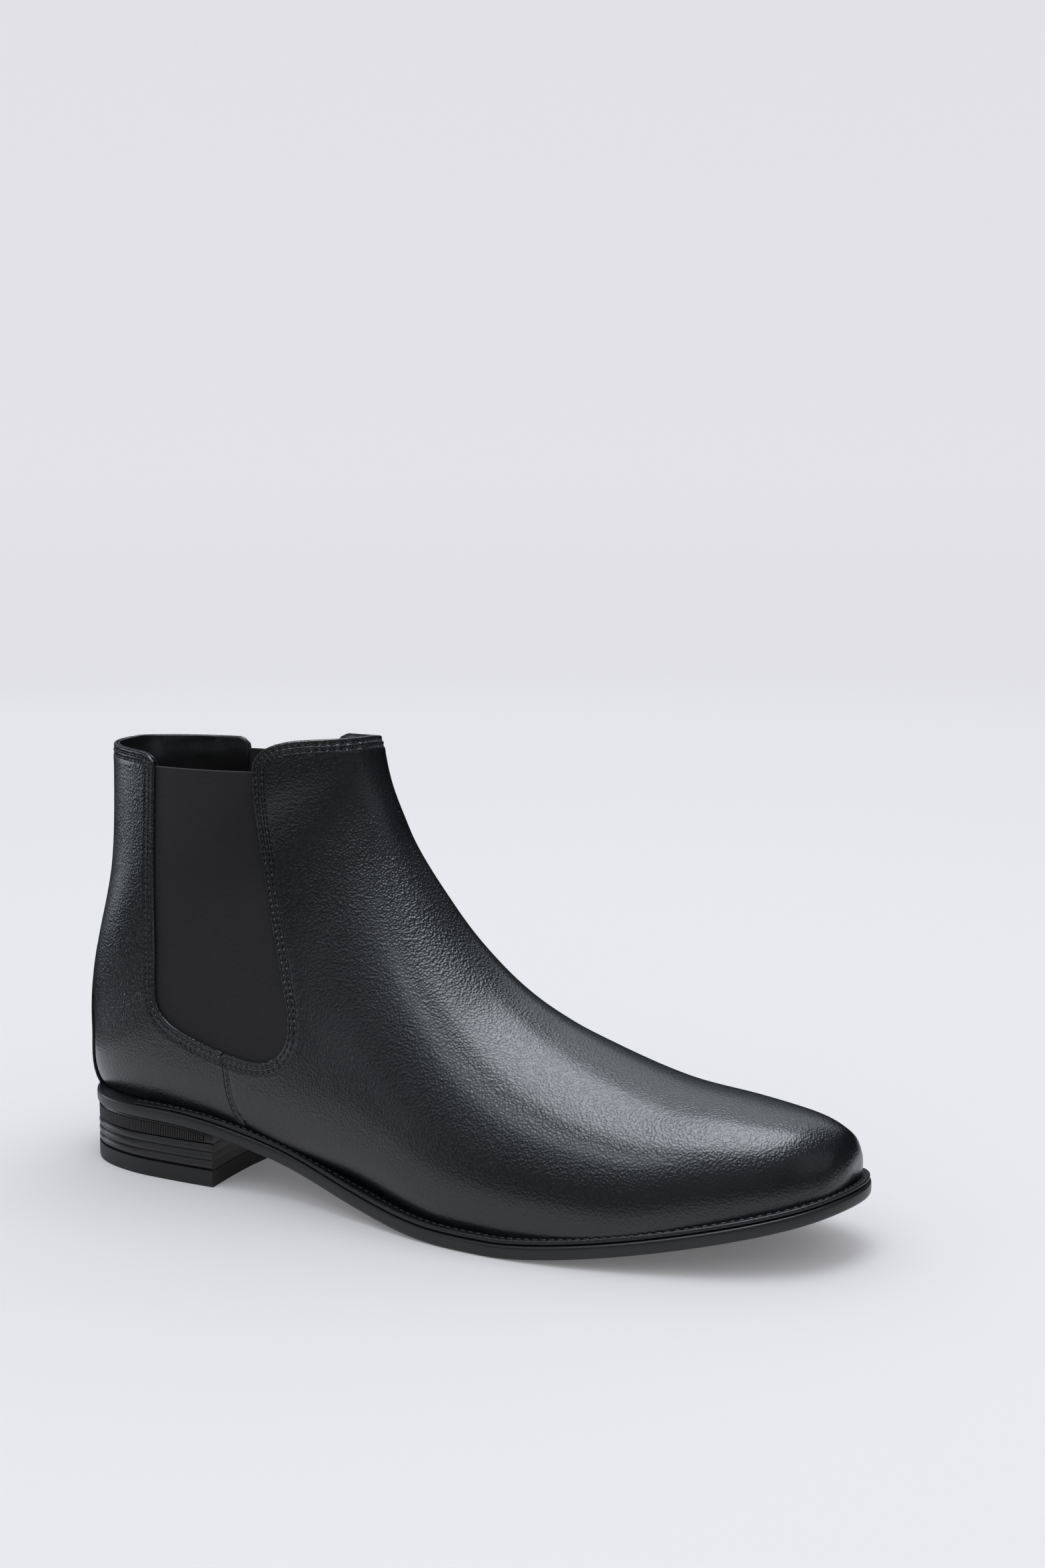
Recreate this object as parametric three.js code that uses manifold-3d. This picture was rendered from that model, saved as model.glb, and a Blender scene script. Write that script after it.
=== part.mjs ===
// Chelsea boot for the right foot, built as a cemented dress boot on a stacked-look heel.
// Millimetres. +X points to the toe, +Y to the inner (medial) side, +Z up. The finished group is
// moved so that its origin is the middle of the footprint, on the floor.
import * as THREE from "three";
import { mergeVertices } from "three/addons/utils/BufferGeometryUtils.js";
import Module from "manifold-3d";

const wasm = await Module();
wasm.setup();

// Driving dimensions.
const SOLE_LENGTH = 312; // outsole, back of the heel to the toe tip
const BALL_WIDTH = 102.5; // outsole across the ball of the foot
const HEEL_WIDTH = 67.5; // outsole across the heel
const SHAFT_HEIGHT = 169.5; // floor to the front of the collar
const SEAT_HEIGHT = 27; // floor to the top of the outsole under the heel
const TOE_SPRING = 20; // rise of the outsole from the ball to the toe tip
const SOLE_THICKNESS = 5;
const TOP_PIECE_HEIGHT = 6.3; // the wearing layer under the heel
const HEEL_LENGTH = 72; // back of the heel to its breast
const RAND_BACK = 6; // ribbed wedge between sole and heel block, at the back
const RAND_BREAST = 2.7; // and at the breast
const GAP = 0.3; // clearance between pieces that touch
const LEATHER = 1.4;
const BACKSTAY = 1.2;
const ELASTIC = 1.1; // gores, toe puff and heel counter share this layer
const LINING = 0.8;
const WELT = 1.7;
const INSOLE = 2;
const SOCK = 1.2;
const FILLER = 2.5;
const SHANK = 1.2;
const SHANK_WIDTH = 14;
const GORE_LAP = 7; // how far the elastic runs under the leather
const GORE_TOP = 157; // top edge of the elastic
const REAR_TOP = 163; // top of the collar at the back
const SHAFT_FRONT = 169.5; // top of the collar at the front, on the reference boot
const FLEX_X = 205; // ball line, where the sole bends
const FLEX_ANGLE = 32; // opening kept for the bend, degrees
const COLLAR_SPLIT = 72; // height where the rear collar starts to lean back
const NAIL_RADIUS = 1.1;
const RIVET_RADIUS = 1.6;
const ROUND_SIDES = 10;

// The reference size that the outlines below are drawn at.
const REF = { length: 312, ball: 102.5, heel: 67.5, heelLength: 72, seat: 27, shaft: 142.5 };
const SIDE_STEPS = 13; // facets on each side of a cross-section

// Cross-sections of the foot shape from toe tip to collar. Each one joins a top point (topX, topUp)
// on the instep or shin line to a bottom point (lowX, lowUp) on the sole or heel line. "Up" is the
// height above the top of the outsole, outer and inner are the half widths, mid is the sideways
// middle, wide says where between bottom and top it is widest, and the last two are the
// squareness of its lower and upper half.
const SECTIONS = [
  // topX, topUp, lowX, lowUp, outer, inner, mid, wide, low, high
  [308.3, 6, 308.3, 6, 0, 0, 7.5, 0.5, 2.4, 2.0],
  [308.6, 10.5, 307.6, 0, 6.5, 6.5, 7.5, 0.5, 2.4, 2.0],
  [307, 15.5, 305.8, -6, 12.5, 12.5, 6.8, 0.48, 2.4, 2.0],
  [303.3, 20.5, 302, -10, 18.5, 18.5, 5.8, 0.45, 2.5, 2.1],
  [292, 27.5, 292, -12, 27, 27, 3.9, 0.42, 2.8, 2.2],
  [270, 36, 270, -14, 37, 36.5, 2, 0.36, 3, 2.2],
  [243, 45.2, 243, -15, 45.5, 44.5, 0.3, 0.34, 3, 2.0],
  [213, 59, 211, -11.5, 50.3, 47.5, 0, 0.33, 3, 1.85],
  [186, 73.5, 174, -9, 49.8, 44, -1, 0.32, 2.9, 1.8],
  [164, 90.5, 132, -7, 44.5, 36.5, -0.3, 0.36, 2.7, 1.9],
  [148.5, 106.5, 84, -12, 39, 34.5, 0, 0.38, 2.6, 2.0],
  [138, 119.5, 36, -14, 35.5, 33, 0, 0.4, 2.5, 2.1],
  [132, 130.5, 4, -3, 34, 33, 0, 0.42, 2.4, 2.1],
  [128.3, 138, -1, 20, 33, 32.5, 0, 0.43, 2.3, 2.1],
  [126, 144, 1, 48, 34, 32.5, 0, 0.44, 2.3, 2.1],
  [124, 151, 10.5, 88, 36, 31.5, 0, 0.46, 2.2, 2.1],
  [122, 158, 13, 135, 37, 29, 0, 0.48, 2.2, 2.1],
  [120.5, 170, 13.5, 160, 37, 28, 0, 0.48, 2.2, 2.1],
];

// Where the skin has its rings, counted in sections: close in the bends, wide on the shaft.
const BENDS = { from: 4, to: 13 };
const RINGS = [];
for (let t = 1; t < SECTIONS.length; t += t >= BENDS.from && t < BENDS.to ? 0.5 : 1) {
  RINGS.push(t);
}

// Outline of the outsole, from the back of the heel round the outer side to the toe and back.
const SOLE_OUTLINE = [
  [0, 0], [4, -15], [15, -27], [33, -33.5], [54, -35], [75, -35], [106, -35.5], [137, -42.5],
  [167, -50], [192, -53], [215, -52], [238, -48], [261, -41.5], [283, -32.5], [299, -21.5],
  [308, -8], [312, 8], [308.5, 22], [300, 31], [283, 38], [261, 44], [238, 48.5], [215, 49.5],
  [192, 46], [167, 39], [137, 32.5], [106, 30], [75, 31.5], [54, 32.5], [33, 31.5], [15, 25.5],
  [4, 14],
];

// Side view of the elastic gore, [x, height above the floor], from the top of its rear edge down,
// along the bottom and up its front edge.
const GORE_OUTLINE = [
  [49.5, GORE_TOP], [47.8, 130], [46.4, 100], [45.6, 75], [47.5, 65.5], [54, 59.8], [66, 55.6],
  [78, 53], [90, 51.6], [98, 52.4], [104.5, 56.2], [107.4, 62.5], [106.6, 71], [102.5, 84],
  [97, 102], [92.6, 120], [90.8, 138], [91, GORE_TOP],
];
const SEAM_ON_GORE = 7; // index of the gore point where the side seam starts
const SEAM = [[79, 40], [81, 30], [84.5, 18], [86, -30]];

const lengthScale = SOLE_LENGTH / REF.length;
const alongX = (x) => x * lengthScale;

/** Widths follow the heel width behind the arch and the ball width in front of it. */
function acrossY(x, y) {
  const t = THREE.MathUtils.clamp((x - 75) / 115, 0, 1);
  return y * THREE.MathUtils.lerp(HEEL_WIDTH / REF.heel, BALL_WIDTH / REF.ball, t);
}

/** Height of the top of the outsole: level heel seat, ramp through the arch, then toe spring. */
function featherHeight(x) {
  const ramp = THREE.MathUtils.smoothstep(x, alongX(45), alongX(180));
  const ball = alongX(200);
  const spring = Math.max(0, (x - ball) / (SOLE_LENGTH - ball)) ** 1.4;
  return SOLE_THICKNESS + (SEAT_HEIGHT - SOLE_THICKNESS) * (1 - ramp) + TOE_SPRING * spring;
}

/** Only the part above the instep grows with the shaft. */
const shaftRoom = SHAFT_HEIGHT - SEAT_HEIGHT;
const INSTEP = 60;
const raised = (up) =>
  up <= INSTEP ? up : INSTEP + ((up - INSTEP) * (shaftRoom - INSTEP)) / (REF.shaft - INSTEP);
const sideHeight = (z) => SEAT_HEIGHT + raised(z - REF.seat);

/** Uniform Catmull-Rom through rows of numbers; t counts rows. */
function spline(rows, t, closed = false) {
  const n = rows.length;
  const i = Math.min(Math.floor(t), closed ? n - 1 : n - 2);
  const f = t - i;
  const at = (k) => rows[closed ? (k + n) % n : THREE.MathUtils.clamp(k, 0, n - 1)];
  const [a, b, c, d] = [at(i - 1), at(i), at(i + 1), at(i + 2)];
  return b.map((value, k) => {
    const m0 = (c[k] - a[k]) / 2;
    const m1 = (d[k] - value) / 2;
    const w = c[k] - value;
    return value + f * (m0 + f * (3 * w - 2 * m0 - m1 + f * (m0 + m1 - 2 * w)));
  });
}

/** Point of the foot shape: t counts sections, angle runs from the bottom round the outer side. */
function footPoint(t, angle) {
  const [topX, topUp, lowX, lowUp, outer, inner, mid, wide, low, high] = spline(SECTIONS, t);
  const turn = THREE.MathUtils.euclideanModulo(angle, 2 * Math.PI);
  const outerSide = turn <= Math.PI;
  const a = outerSide ? turn : 2 * Math.PI - turn;
  const lower = a <= Math.PI / 2;
  const power = 2 / (lower ? low : high);
  const sine = Math.abs(lower ? Math.sin(a) : Math.cos(a - Math.PI / 2)) ** power;
  const cosine = Math.abs(lower ? Math.cos(a) : Math.sin(a - Math.PI / 2)) ** power;
  const rise = lower ? wide * (1 - cosine) : wide + (1 - wide) * cosine;
  const x = THREE.MathUtils.lerp(lowX, topX, rise);
  const lowZ = featherHeight(alongX(lowX)) + raised(lowUp);
  const topZ = featherHeight(alongX(topX)) + raised(topUp);
  const y = mid + (outerSide ? -outer : inner) * sine;
  return new THREE.Vector3(alongX(x), acrossY(x, y), THREE.MathUtils.lerp(lowZ, topZ, rise));
}

/** The same point moved out along the surface normal by offset. */
function skinPoint(t, angle, offset) {
  const step = 0.03;
  const last = SECTIONS.length - 1;
  const along = footPoint(Math.min(t + step, last), angle).sub(footPoint(t - step, angle));
  const around = footPoint(t, angle + step).sub(footPoint(t, angle - step));
  const normal = around.cross(along).normalize();
  return footPoint(t, angle).addScaledVector(normal, offset);
}

function indexed(points, triangles) {
  const geometry = new THREE.BufferGeometry();
  geometry.setAttribute("position", new THREE.Float32BufferAttribute(points.flat(), 3));
  geometry.setIndex(triangles.flat());
  return geometry;
}

/** A manifold solid from a closed three.js geometry. */
function toSolid(geometry) {
  const bare = new THREE.BufferGeometry();
  bare.setAttribute("position", geometry.getAttribute("position"));
  bare.setIndex(geometry.getIndex());
  const merged = mergeVertices(bare, 1e-4);
  return new wasm.Manifold(
    new wasm.Mesh({
      numProp: 3,
      vertProperties: new Float32Array(merged.getAttribute("position").array),
      triVerts: new Uint32Array(merged.getIndex().array),
    }),
  );
}

function toGeometry(solid) {
  const { vertProperties, triVerts } = solid.getMesh();
  const geometry = new THREE.BufferGeometry();
  geometry.setAttribute("position", new THREE.BufferAttribute(new Float32Array(vertProperties), 3));
  geometry.setIndex(new THREE.BufferAttribute(new Uint32Array(triVerts), 1));
  return geometry;
}

/** The whole foot shape as a solid whose skin is moved out by offset, closed above the collar. */
function footBody(offset) {
  const around = 2 * SIDE_STEPS;
  const rings = RINGS.length;
  const nose = footPoint(0, 0);
  const points = [[nose.x + offset, nose.y, nose.z]];
  const triangles = [];
  for (let ring = 1; ring <= rings; ring += 1) {
    for (let k = 0; k < around; k += 1) {
      points.push(skinPoint(RINGS[ring - 1], (k * Math.PI) / SIDE_STEPS, offset).toArray());
    }
  }
  const at = (ring, k) => 1 + (ring - 1) * around + (k % around);
  for (let k = 0; k < around; k += 1) {
    triangles.push([0, at(1, k + 1), at(1, k)]);
    for (let ring = 1; ring < rings; ring += 1) {
      triangles.push([at(ring, k), at(ring + 1, k + 1), at(ring + 1, k)]);
      triangles.push([at(ring, k), at(ring, k + 1), at(ring + 1, k + 1)]);
    }
    triangles.push([points.length, at(rings, k), at(rings, k + 1)]);
  }
  const rim = points.slice(-around);
  points.push([0, 1, 2].map((axis) => rim.reduce((sum, p) => sum + p[axis], 0) / around));
  return toSolid(indexed(points, triangles));
}

function shapeOf(points) {
  return new THREE.Shape(points.map(([x, y]) => new THREE.Vector2(x, y)));
}

/** Prism through the boot from a side-view outline of [x, z] points. */
function sidePrism(outline, fromY = -90, toY = 90) {
  const geometry = new THREE.ExtrudeGeometry(shapeOf(outline), {
    depth: toY - fromY,
    bevelEnabled: false,
  });
  geometry.rotateX(Math.PI / 2);
  geometry.translate(0, toY, 0);
  return toSolid(geometry);
}

/** Upright prism from a plan outline of [x, y] points. */
function planPrism(outline, fromZ = -20, toZ = 80) {
  const geometry = new THREE.ExtrudeGeometry(shapeOf(outline), {
    depth: toZ - fromZ,
    bevelEnabled: false,
  });
  geometry.translate(0, 0, fromZ);
  return toSolid(geometry);
}

/** Prism along X from a rear-view outline of [y, z] points. */
function rearPrism(outline, fromX, toX) {
  const geometry = new THREE.ExtrudeGeometry(shapeOf(outline), {
    depth: toX - fromX,
    bevelEnabled: false,
  });
  const axes = [new THREE.Vector3(0, 1, 0), new THREE.Vector3(0, 0, 1), new THREE.Vector3(1, 0, 0)];
  geometry.applyMatrix4(new THREE.Matrix4().makeBasis(...axes));
  geometry.translate(fromX, 0, 0);
  return toSolid(geometry);
}

/** Upright round bar. */
function bar(radius, x, y, fromZ, toZ) {
  const geometry = new THREE.CylinderGeometry(radius, radius, toZ - fromZ, ROUND_SIDES);
  geometry.rotateX(Math.PI / 2);
  geometry.translate(x, y, (fromZ + toZ) / 2);
  return toSolid(geometry);
}

/** Band that follows the sole's curve, between two heights above the top of the outsole. */
function soleSlab(fromUp, toUp) {
  const steps = 26;
  const xs = Array.from({ length: steps + 1 }, (_, i) =>
    THREE.MathUtils.lerp(-20, SOLE_LENGTH + 20, i / steps));
  const top = xs.map((x) => [x, featherHeight(x) + toUp]);
  const bottom = xs.map((x) => [x, featherHeight(x) + fromUp]).reverse();
  return sidePrism([...top, ...bottom]);
}

/** Plan outline of the sole, moved in by inset. */
function soleOutline(inset = 0, perPoint = 2) {
  const count = SOLE_OUTLINE.length * perPoint;
  const points = Array.from({ length: count }, (_, i) => {
    const [x, y] = spline(SOLE_OUTLINE, i / perPoint, true);
    return new THREE.Vector2(alongX(x), acrossY(x, y));
  });
  return points.map((point, i) => {
    const tangent = points[(i + 1) % count].clone().sub(points[(i + count - 1) % count]).normalize();
    return [point.x - tangent.y * inset, point.y + tangent.x * inset];
  });
}

/** Middle of the sole inside the lasting margins, shrunk by a clearance. */
function marginHole(clearance = 0) {
  const [back, front] = [alongX(18) + clearance, alongX(288) - clearance];
  const narrow = 0.55 - clearance / 30;
  return soleOutline().map(([x, y]) => [
    THREE.MathUtils.lerp(back, front, x / SOLE_LENGTH),
    y * narrow,
  ]);
}

/** Outline moved out by a distance along its own normals; the ends stay at the same height. */
function widened(outline, distance) {
  return outline.map(([x, z], i) => {
    const [x0, z0] = outline[Math.max(i - 1, 0)];
    const [x1, z1] = outline[Math.min(i + 1, outline.length - 1)];
    const length = Math.hypot(x1 - x0, z1 - z0);
    const atEnd = i === 0 || i === outline.length - 1;
    const rise = atEnd ? 0 : (x1 - x0) / length;
    return [x + ((z1 - z0) / length) * distance, z - rise * distance];
  });
}

const goreEdge = GORE_OUTLINE.map(([x, z]) => [alongX(x), sideHeight(z)]);
const sideSeam = [
  goreEdge[SEAM_ON_GORE],
  ...SEAM.map(([x, z]) => [alongX(x), sideHeight(z)]),
];
const goreTop = goreEdge[0][1];
const split = sideHeight(COLLAR_SPLIT);
const rearTop = sideHeight(REAR_TOP);
const flexX = alongX(FLEX_X);
const FAR = 400;
const LOW = -60;

const liningFloor = GAP + LEATHER + GAP;
const insoleFloor = liningFloor + LINING + GAP;
const sockFloor = insoleFloor + INSOLE + GAP;
const marginOpening = planPrism(marginHole()).intersect(soleSlab(-SEAT_HEIGHT, insoleFloor));

/** Shell between two offsets of the foot shape, with a floor that starts at an own height. */
function layer(outerOffset, thickness, floorUp, floored = true) {
  const outer = footBody(outerOffset).subtract(soleSlab(-FAR, floorUp));
  const inside = footBody(outerOffset - thickness);
  const core = inside.subtract(soleSlab(-FAR, floorUp + (floored ? thickness : -1)));
  return outer.subtract(core).subtract(marginOpening);
}

const leatherOffset = 0;
const elasticOffset = leatherOffset - LEATHER - GAP;
const liningOffset = elasticOffset - ELASTIC - GAP;
const insideOffset = liningOffset - LINING - GAP;
const flexZ = featherHeight(flexX) + sockFloor + SOCK;

// Regions of the ball flex: everything behind it, the wedge that creases, and the toe part.
const half = GAP / 2;
const lean = Math.tan(THREE.MathUtils.degToRad(FLEX_ANGLE));
const flexTop = flexZ + 110;
const WEDGE_START = 1.5;
const behindFlex = sidePrism([[-FAR, LOW], [flexX - half, LOW], [flexX - half, FAR], [-FAR, FAR]]);
const aheadOfFlex = sidePrism([
  [flexX + half, LOW], [flexX + half, flexZ], [flexX + half + lean * (flexTop - flexZ), flexTop],
  [FAR * 2, flexTop], [FAR * 2, LOW],
]);
const flexWedge = sidePrism([
  [flexX + half, flexZ + WEDGE_START],
  [flexX + half - GAP + lean * WEDGE_START, flexZ + WEDGE_START],
  [flexX + half - GAP + lean * (flexTop - flexZ), flexTop],
  [flexX + half, flexTop],
]);

const materials = {
  leather: { color: 0x17181b, roughness: 0.42, metalness: 0 },
  elastic: { color: 0x1c1c1f, roughness: 0.9, metalness: 0 },
  lining: { color: 0x0d0d0f, roughness: 0.35, metalness: 0 },
  board: { color: 0x8c6f4e, roughness: 0.9, metalness: 0 },
  filler: { color: 0xb08a5c, roughness: 0.95, metalness: 0 },
  thermoplastic: { color: 0xc9c2b4, roughness: 0.8, metalness: 0 },
  welt: { color: 0x101012, roughness: 0.7, metalness: 0 },
  outsole: { color: 0x1a1a1c, roughness: 0.5, metalness: 0 },
  heel: { color: 0x171412, roughness: 0.45, metalness: 0 },
  rubber: { color: 0x121212, roughness: 0.8, metalness: 0 },
  steel: { color: 0x9a9a9c, roughness: 0.35, metalness: 1 },
};

const boot = new THREE.Group();
boot.name = "chelsea_boot";

function add(name, solid, material) {
  const mesh = new THREE.Mesh(toGeometry(solid), new THREE.MeshStandardMaterial({
    ...materials[material],
    flatShading: true,
  }));
  mesh.name = name;
  boot.add(mesh);
}

/** A layer panel cut in three at the ball line. */
function addFlexing(names, solid, material) {
  add(names[0], solid.intersect(behindFlex), material);
  add(names[1], solid.intersect(flexWedge), material);
  add(names[2], solid.intersect(aheadOfFlex), material);
}

/** A flat layer of the bottom, cut in two at the ball line. */
function addBottomPair(names, solid, material) {
  add(names[0], solid.intersect(behindFlex), material);
  add(names[1], solid.intersect(aheadOfFlex), material);
}

/** Side views of the three zones that the elastic gore separates. */
function upperZones() {
  const ear = [
    [91.4, 160.5], [92.8, 163.2], [95.6, 165.8], [100.8, 168], [110, 169.3], [135, SHAFT_FRONT],
  ].map(([x, z]) => [alongX(x), sideHeight(z)]);
  const front = [
    ...[...sideSeam].reverse().map(([x, z]) => [x + half, z]),
    ...goreEdge.slice(SEAM_ON_GORE + 1), ...ear,
    [FAR * 2, ear.at(-1)[1]], [FAR * 2, LOW],
  ];
  const rear = goreEdge.slice(0, SEAM_ON_GORE);
  const below = rear.filter(([, z]) => z < split - half);
  const above = rear.filter(([, z]) => z > split + half);
  const edgeAtSplit = above.at(-1)[0];
  const heel = [
    [-FAR, LOW], [-FAR, split - half], [edgeAtSplit, split - half], ...below,
    ...sideSeam.map(([x, z]) => [x - half, z]),
  ];
  const rearEar = [[40, 162.6], [45, 161.8], [48.6, 159.6]].map(([x, z]) => [alongX(x), sideHeight(z)]);
  const collar = [
    [-FAR, split + half], [-FAR, rearTop], ...rearEar, ...above, [edgeAtSplit, split + half],
  ];
  return { front, heel, collar };
}

const zones = upperZones();

function addUpper() {
  const shell = layer(leatherOffset, LEATHER, GAP);
  addFlexing(["vamp_instep", "vamp_flex", "vamp_toe"], shell.intersect(sidePrism(zones.front)), "leather");
  for (const [side, fromY, toY] of [["lateral", -90, -half], ["medial", half, 90]]) {
    add(`quarter_${side}`, shell.intersect(sidePrism(zones.heel, fromY, toY)), "leather");
    add(`collar_${side}`, shell.intersect(sidePrism(zones.collar, fromY, toY)), "leather");
  }
}

function addBackstay() {
  const offset = leatherOffset + GAP + BACKSTAY;
  const strip = footBody(offset).subtract(footBody(leatherOffset + GAP)).subtract(soleSlab(-FAR, GAP));
  const top = sideHeight(105);
  const foot = SEAT_HEIGHT - 10;
  const part = (outline) => strip.intersect(rearPrism(outline, -40, alongX(30)));
  const widthAt = (z) => THREE.MathUtils.lerp(16, 9.5, (z - foot) / (top - foot));
  const lower = split - half;
  const upper = split + half;
  add("backstay", part([
    [-widthAt(foot), foot], [widthAt(foot), foot], [widthAt(lower), lower], [-widthAt(lower), lower],
  ]), "leather");
  add("backstay_top", part([
    [-widthAt(upper), upper], [widthAt(upper), upper], [widthAt(top), top - 4],
    [widthAt(top) - 3.5, top], [3.5 - widthAt(top), top], [-widthAt(top), top - 4],
  ]), "leather");
}

function addGores() {
  const elastic = layer(elasticOffset, ELASTIC, liningFloor, false);
  const outline = widened(goreEdge, GORE_LAP);
  add("gore_lateral", elastic.intersect(sidePrism(outline, -90, -8)), "elastic");
  add("gore_medial", elastic.intersect(sidePrism(outline, 8, 90)), "elastic");

  const counter = sidePrism([
    [-FAR, LOW], [alongX(78), LOW], [alongX(75), sideHeight(38)], [alongX(52), sideHeight(47)],
    [alongX(28), sideHeight(60)], [-FAR, sideHeight(66)],
  ]);
  add("heel_counter", elastic.intersect(counter), "thermoplastic");
  const puff = sidePrism([[alongX(272), LOW], [alongX(264), FAR], [FAR * 2, FAR], [FAR * 2, LOW]]);
  add("toe_puff", elastic.intersect(puff), "thermoplastic");
}

function addLining() {
  const shell = layer(liningOffset, LINING, liningFloor);
  add("lining_heel", shell.intersect(sidePrism(zones.heel)), "lining");
  add("lining_collar", shell.intersect(sidePrism(zones.collar)), "lining");
  const front = shell.intersect(sidePrism(zones.front));
  addFlexing(["lining_instep", "lining_flex", "lining_toe"], front, "lining");
}

// Nails hold the heel through the insole board; rivets hold the shank to the board.
const nails = [[30, 0], [42, 11], [42, -11], [60, 10], [60, -10]]
  .map(([x, y]) => [(x * HEEL_LENGTH) / REF.heelLength, y]);
const rivets = [[78, 0], [150, 0]].map(([x, y]) => [alongX(x), y]);
const NAIL_FOOT = 9.5;
const HEAD = { nail: 2.8, rivet: 3, height: 0.8 };

/** A headed pin whose flat head lies flush in the insole board; grown makes the hole for it. */
function pin(radius, headRadius, [x, y], footZ, grown = 0) {
  const seat = Math.min(featherHeight(x - headRadius), featherHeight(x + headRadius));
  const top = seat + insoleFloor + INSOLE;
  const shaft = bar(radius + grown, x, y, footZ - grown, top + grown);
  return shaft.add(bar(headRadius + grown, x, y, top - HEAD.height - grown, top + grown));
}

const rivetFoot = (x) => featherHeight(x) + insoleFloor - GAP - SHANK;

/** A solid with room cut for every nail and rivet. */
function drilled(solid) {
  const holes = [
    ...nails.map((spot) => pin(NAIL_RADIUS, HEAD.nail, spot, NAIL_FOOT, GAP)),
    ...rivets.map((spot) => pin(RIVET_RADIUS, HEAD.rivet, spot, rivetFoot(spot[0]), GAP)),
  ];
  return holes.reduce((body, hole) => body.subtract(hole), solid);
}

function shankPlan(clearance) {
  const [back, front] = [alongX(66) - clearance, alongX(162) + clearance];
  const side = SHANK_WIDTH / 2 + clearance;
  return [
    [back + 3, -side], [front - 3, -side], [front, 3 - side], [front, side - 3],
    [front - 3, side], [back + 3, side], [back, side - 3], [back, 3 - side],
  ];
}

function addBottom() {
  const inside = footBody(insideOffset);
  const board = soleSlab(insoleFloor, insoleFloor + INSOLE).intersect(inside);
  addBottomPair(["insole_board", "insole_board_toe"], drilled(board), "board");
  const sock = soleSlab(sockFloor, sockFloor + SOCK).intersect(inside);
  addBottomPair(["sock_liner", "sock_liner_toe"], sock, "lining");

  const shankTop = GAP + FILLER;
  const filler = soleSlab(GAP, shankTop)
    .intersect(planPrism(marginHole(GAP)))
    .subtract(soleSlab(shankTop - SHANK - GAP, FAR).intersect(planPrism(shankPlan(GAP))));
  addBottomPair(["filler_waist", "filler_ball"], drilled(filler), "filler");
  const shank = soleSlab(shankTop - SHANK, shankTop).intersect(planPrism(shankPlan(0)));
  add("shank", drilled(shank), "steel");

  const weltStart = HEEL_LENGTH - 4;
  const aheadOfHeel = sidePrism([
    [weltStart, LOW], [FAR * 2, LOW], [FAR * 2, FAR], [weltStart, FAR],
  ]);
  const weltBand = soleSlab(GAP, GAP + WELT)
    .intersect(planPrism(soleOutline(0.5)))
    .intersect(aheadOfHeel)
    .subtract(footBody(GAP));
  const weltRear = weltBand.intersect(behindFlex);
  const everyZ = [[-FAR, LOW], [FAR, LOW], [FAR, FAR], [-FAR, FAR]];
  add("welt_lateral", weltRear.intersect(sidePrism(everyZ, -90, 0)), "welt");
  add("welt_medial", weltRear.intersect(sidePrism(everyZ, 0, 90)), "welt");
  add("welt_toe", weltBand.intersect(aheadOfFlex), "welt");

  const outsole = soleSlab(-SOLE_THICKNESS, 0).intersect(planPrism(soleOutline()));
  addBottomPair(["outsole", "outsole_toe"], drilled(outsole), "outsole");
}

/** Plan of the heel: the sole's outline behind the breast, closed by a slightly hollow breast. */
function heelPlan(inset) {
  const breast = HEEL_LENGTH - inset;
  const rim = soleOutline(inset);
  const turn = Math.floor(rim.length / 2);
  const behind = (point) => point[0] < breast - 2;
  const outer = rim.slice(0, turn).filter(behind);
  const inner = rim.slice(turn).filter(behind);
  const [outerY, innerY] = [outer.at(-1)[1], inner[0][1]];
  const hollow = Array.from({ length: 9 }, (_, i) => {
    const across = i / 8;
    return [breast - 2.5 * Math.sin(Math.PI * across), THREE.MathUtils.lerp(outerY, innerY, across)];
  });
  return [...outer, ...hollow, ...inner];
}

/** Stack of plan outlines at rising heights, closed top and bottom. */
function stacked(levels) {
  const count = levels[0].outline.length;
  const points = levels.flatMap(({ outline, z }) => outline.map(([x, y]) => [x, y, z]));
  const flat = levels[0].outline.map(([x, y]) => new THREE.Vector2(x, y));
  const cap = THREE.ShapeUtils.triangulateShape(flat, []);
  const triangles = cap.map(([a, b, c]) => [a, c, b]);
  for (let level = 0; level < levels.length - 1; level += 1) {
    for (let k = 0; k < count; k += 1) {
      const [a, b] = [level * count + k, level * count + ((k + 1) % count)];
      triangles.push([a, b, b + count], [a, b + count, a + count]);
    }
  }
  const top = (levels.length - 1) * count;
  cap.forEach(([a, b, c]) => triangles.push([top + a, top + b, top + c]));
  return toSolid(indexed(points, triangles));
}

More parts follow.
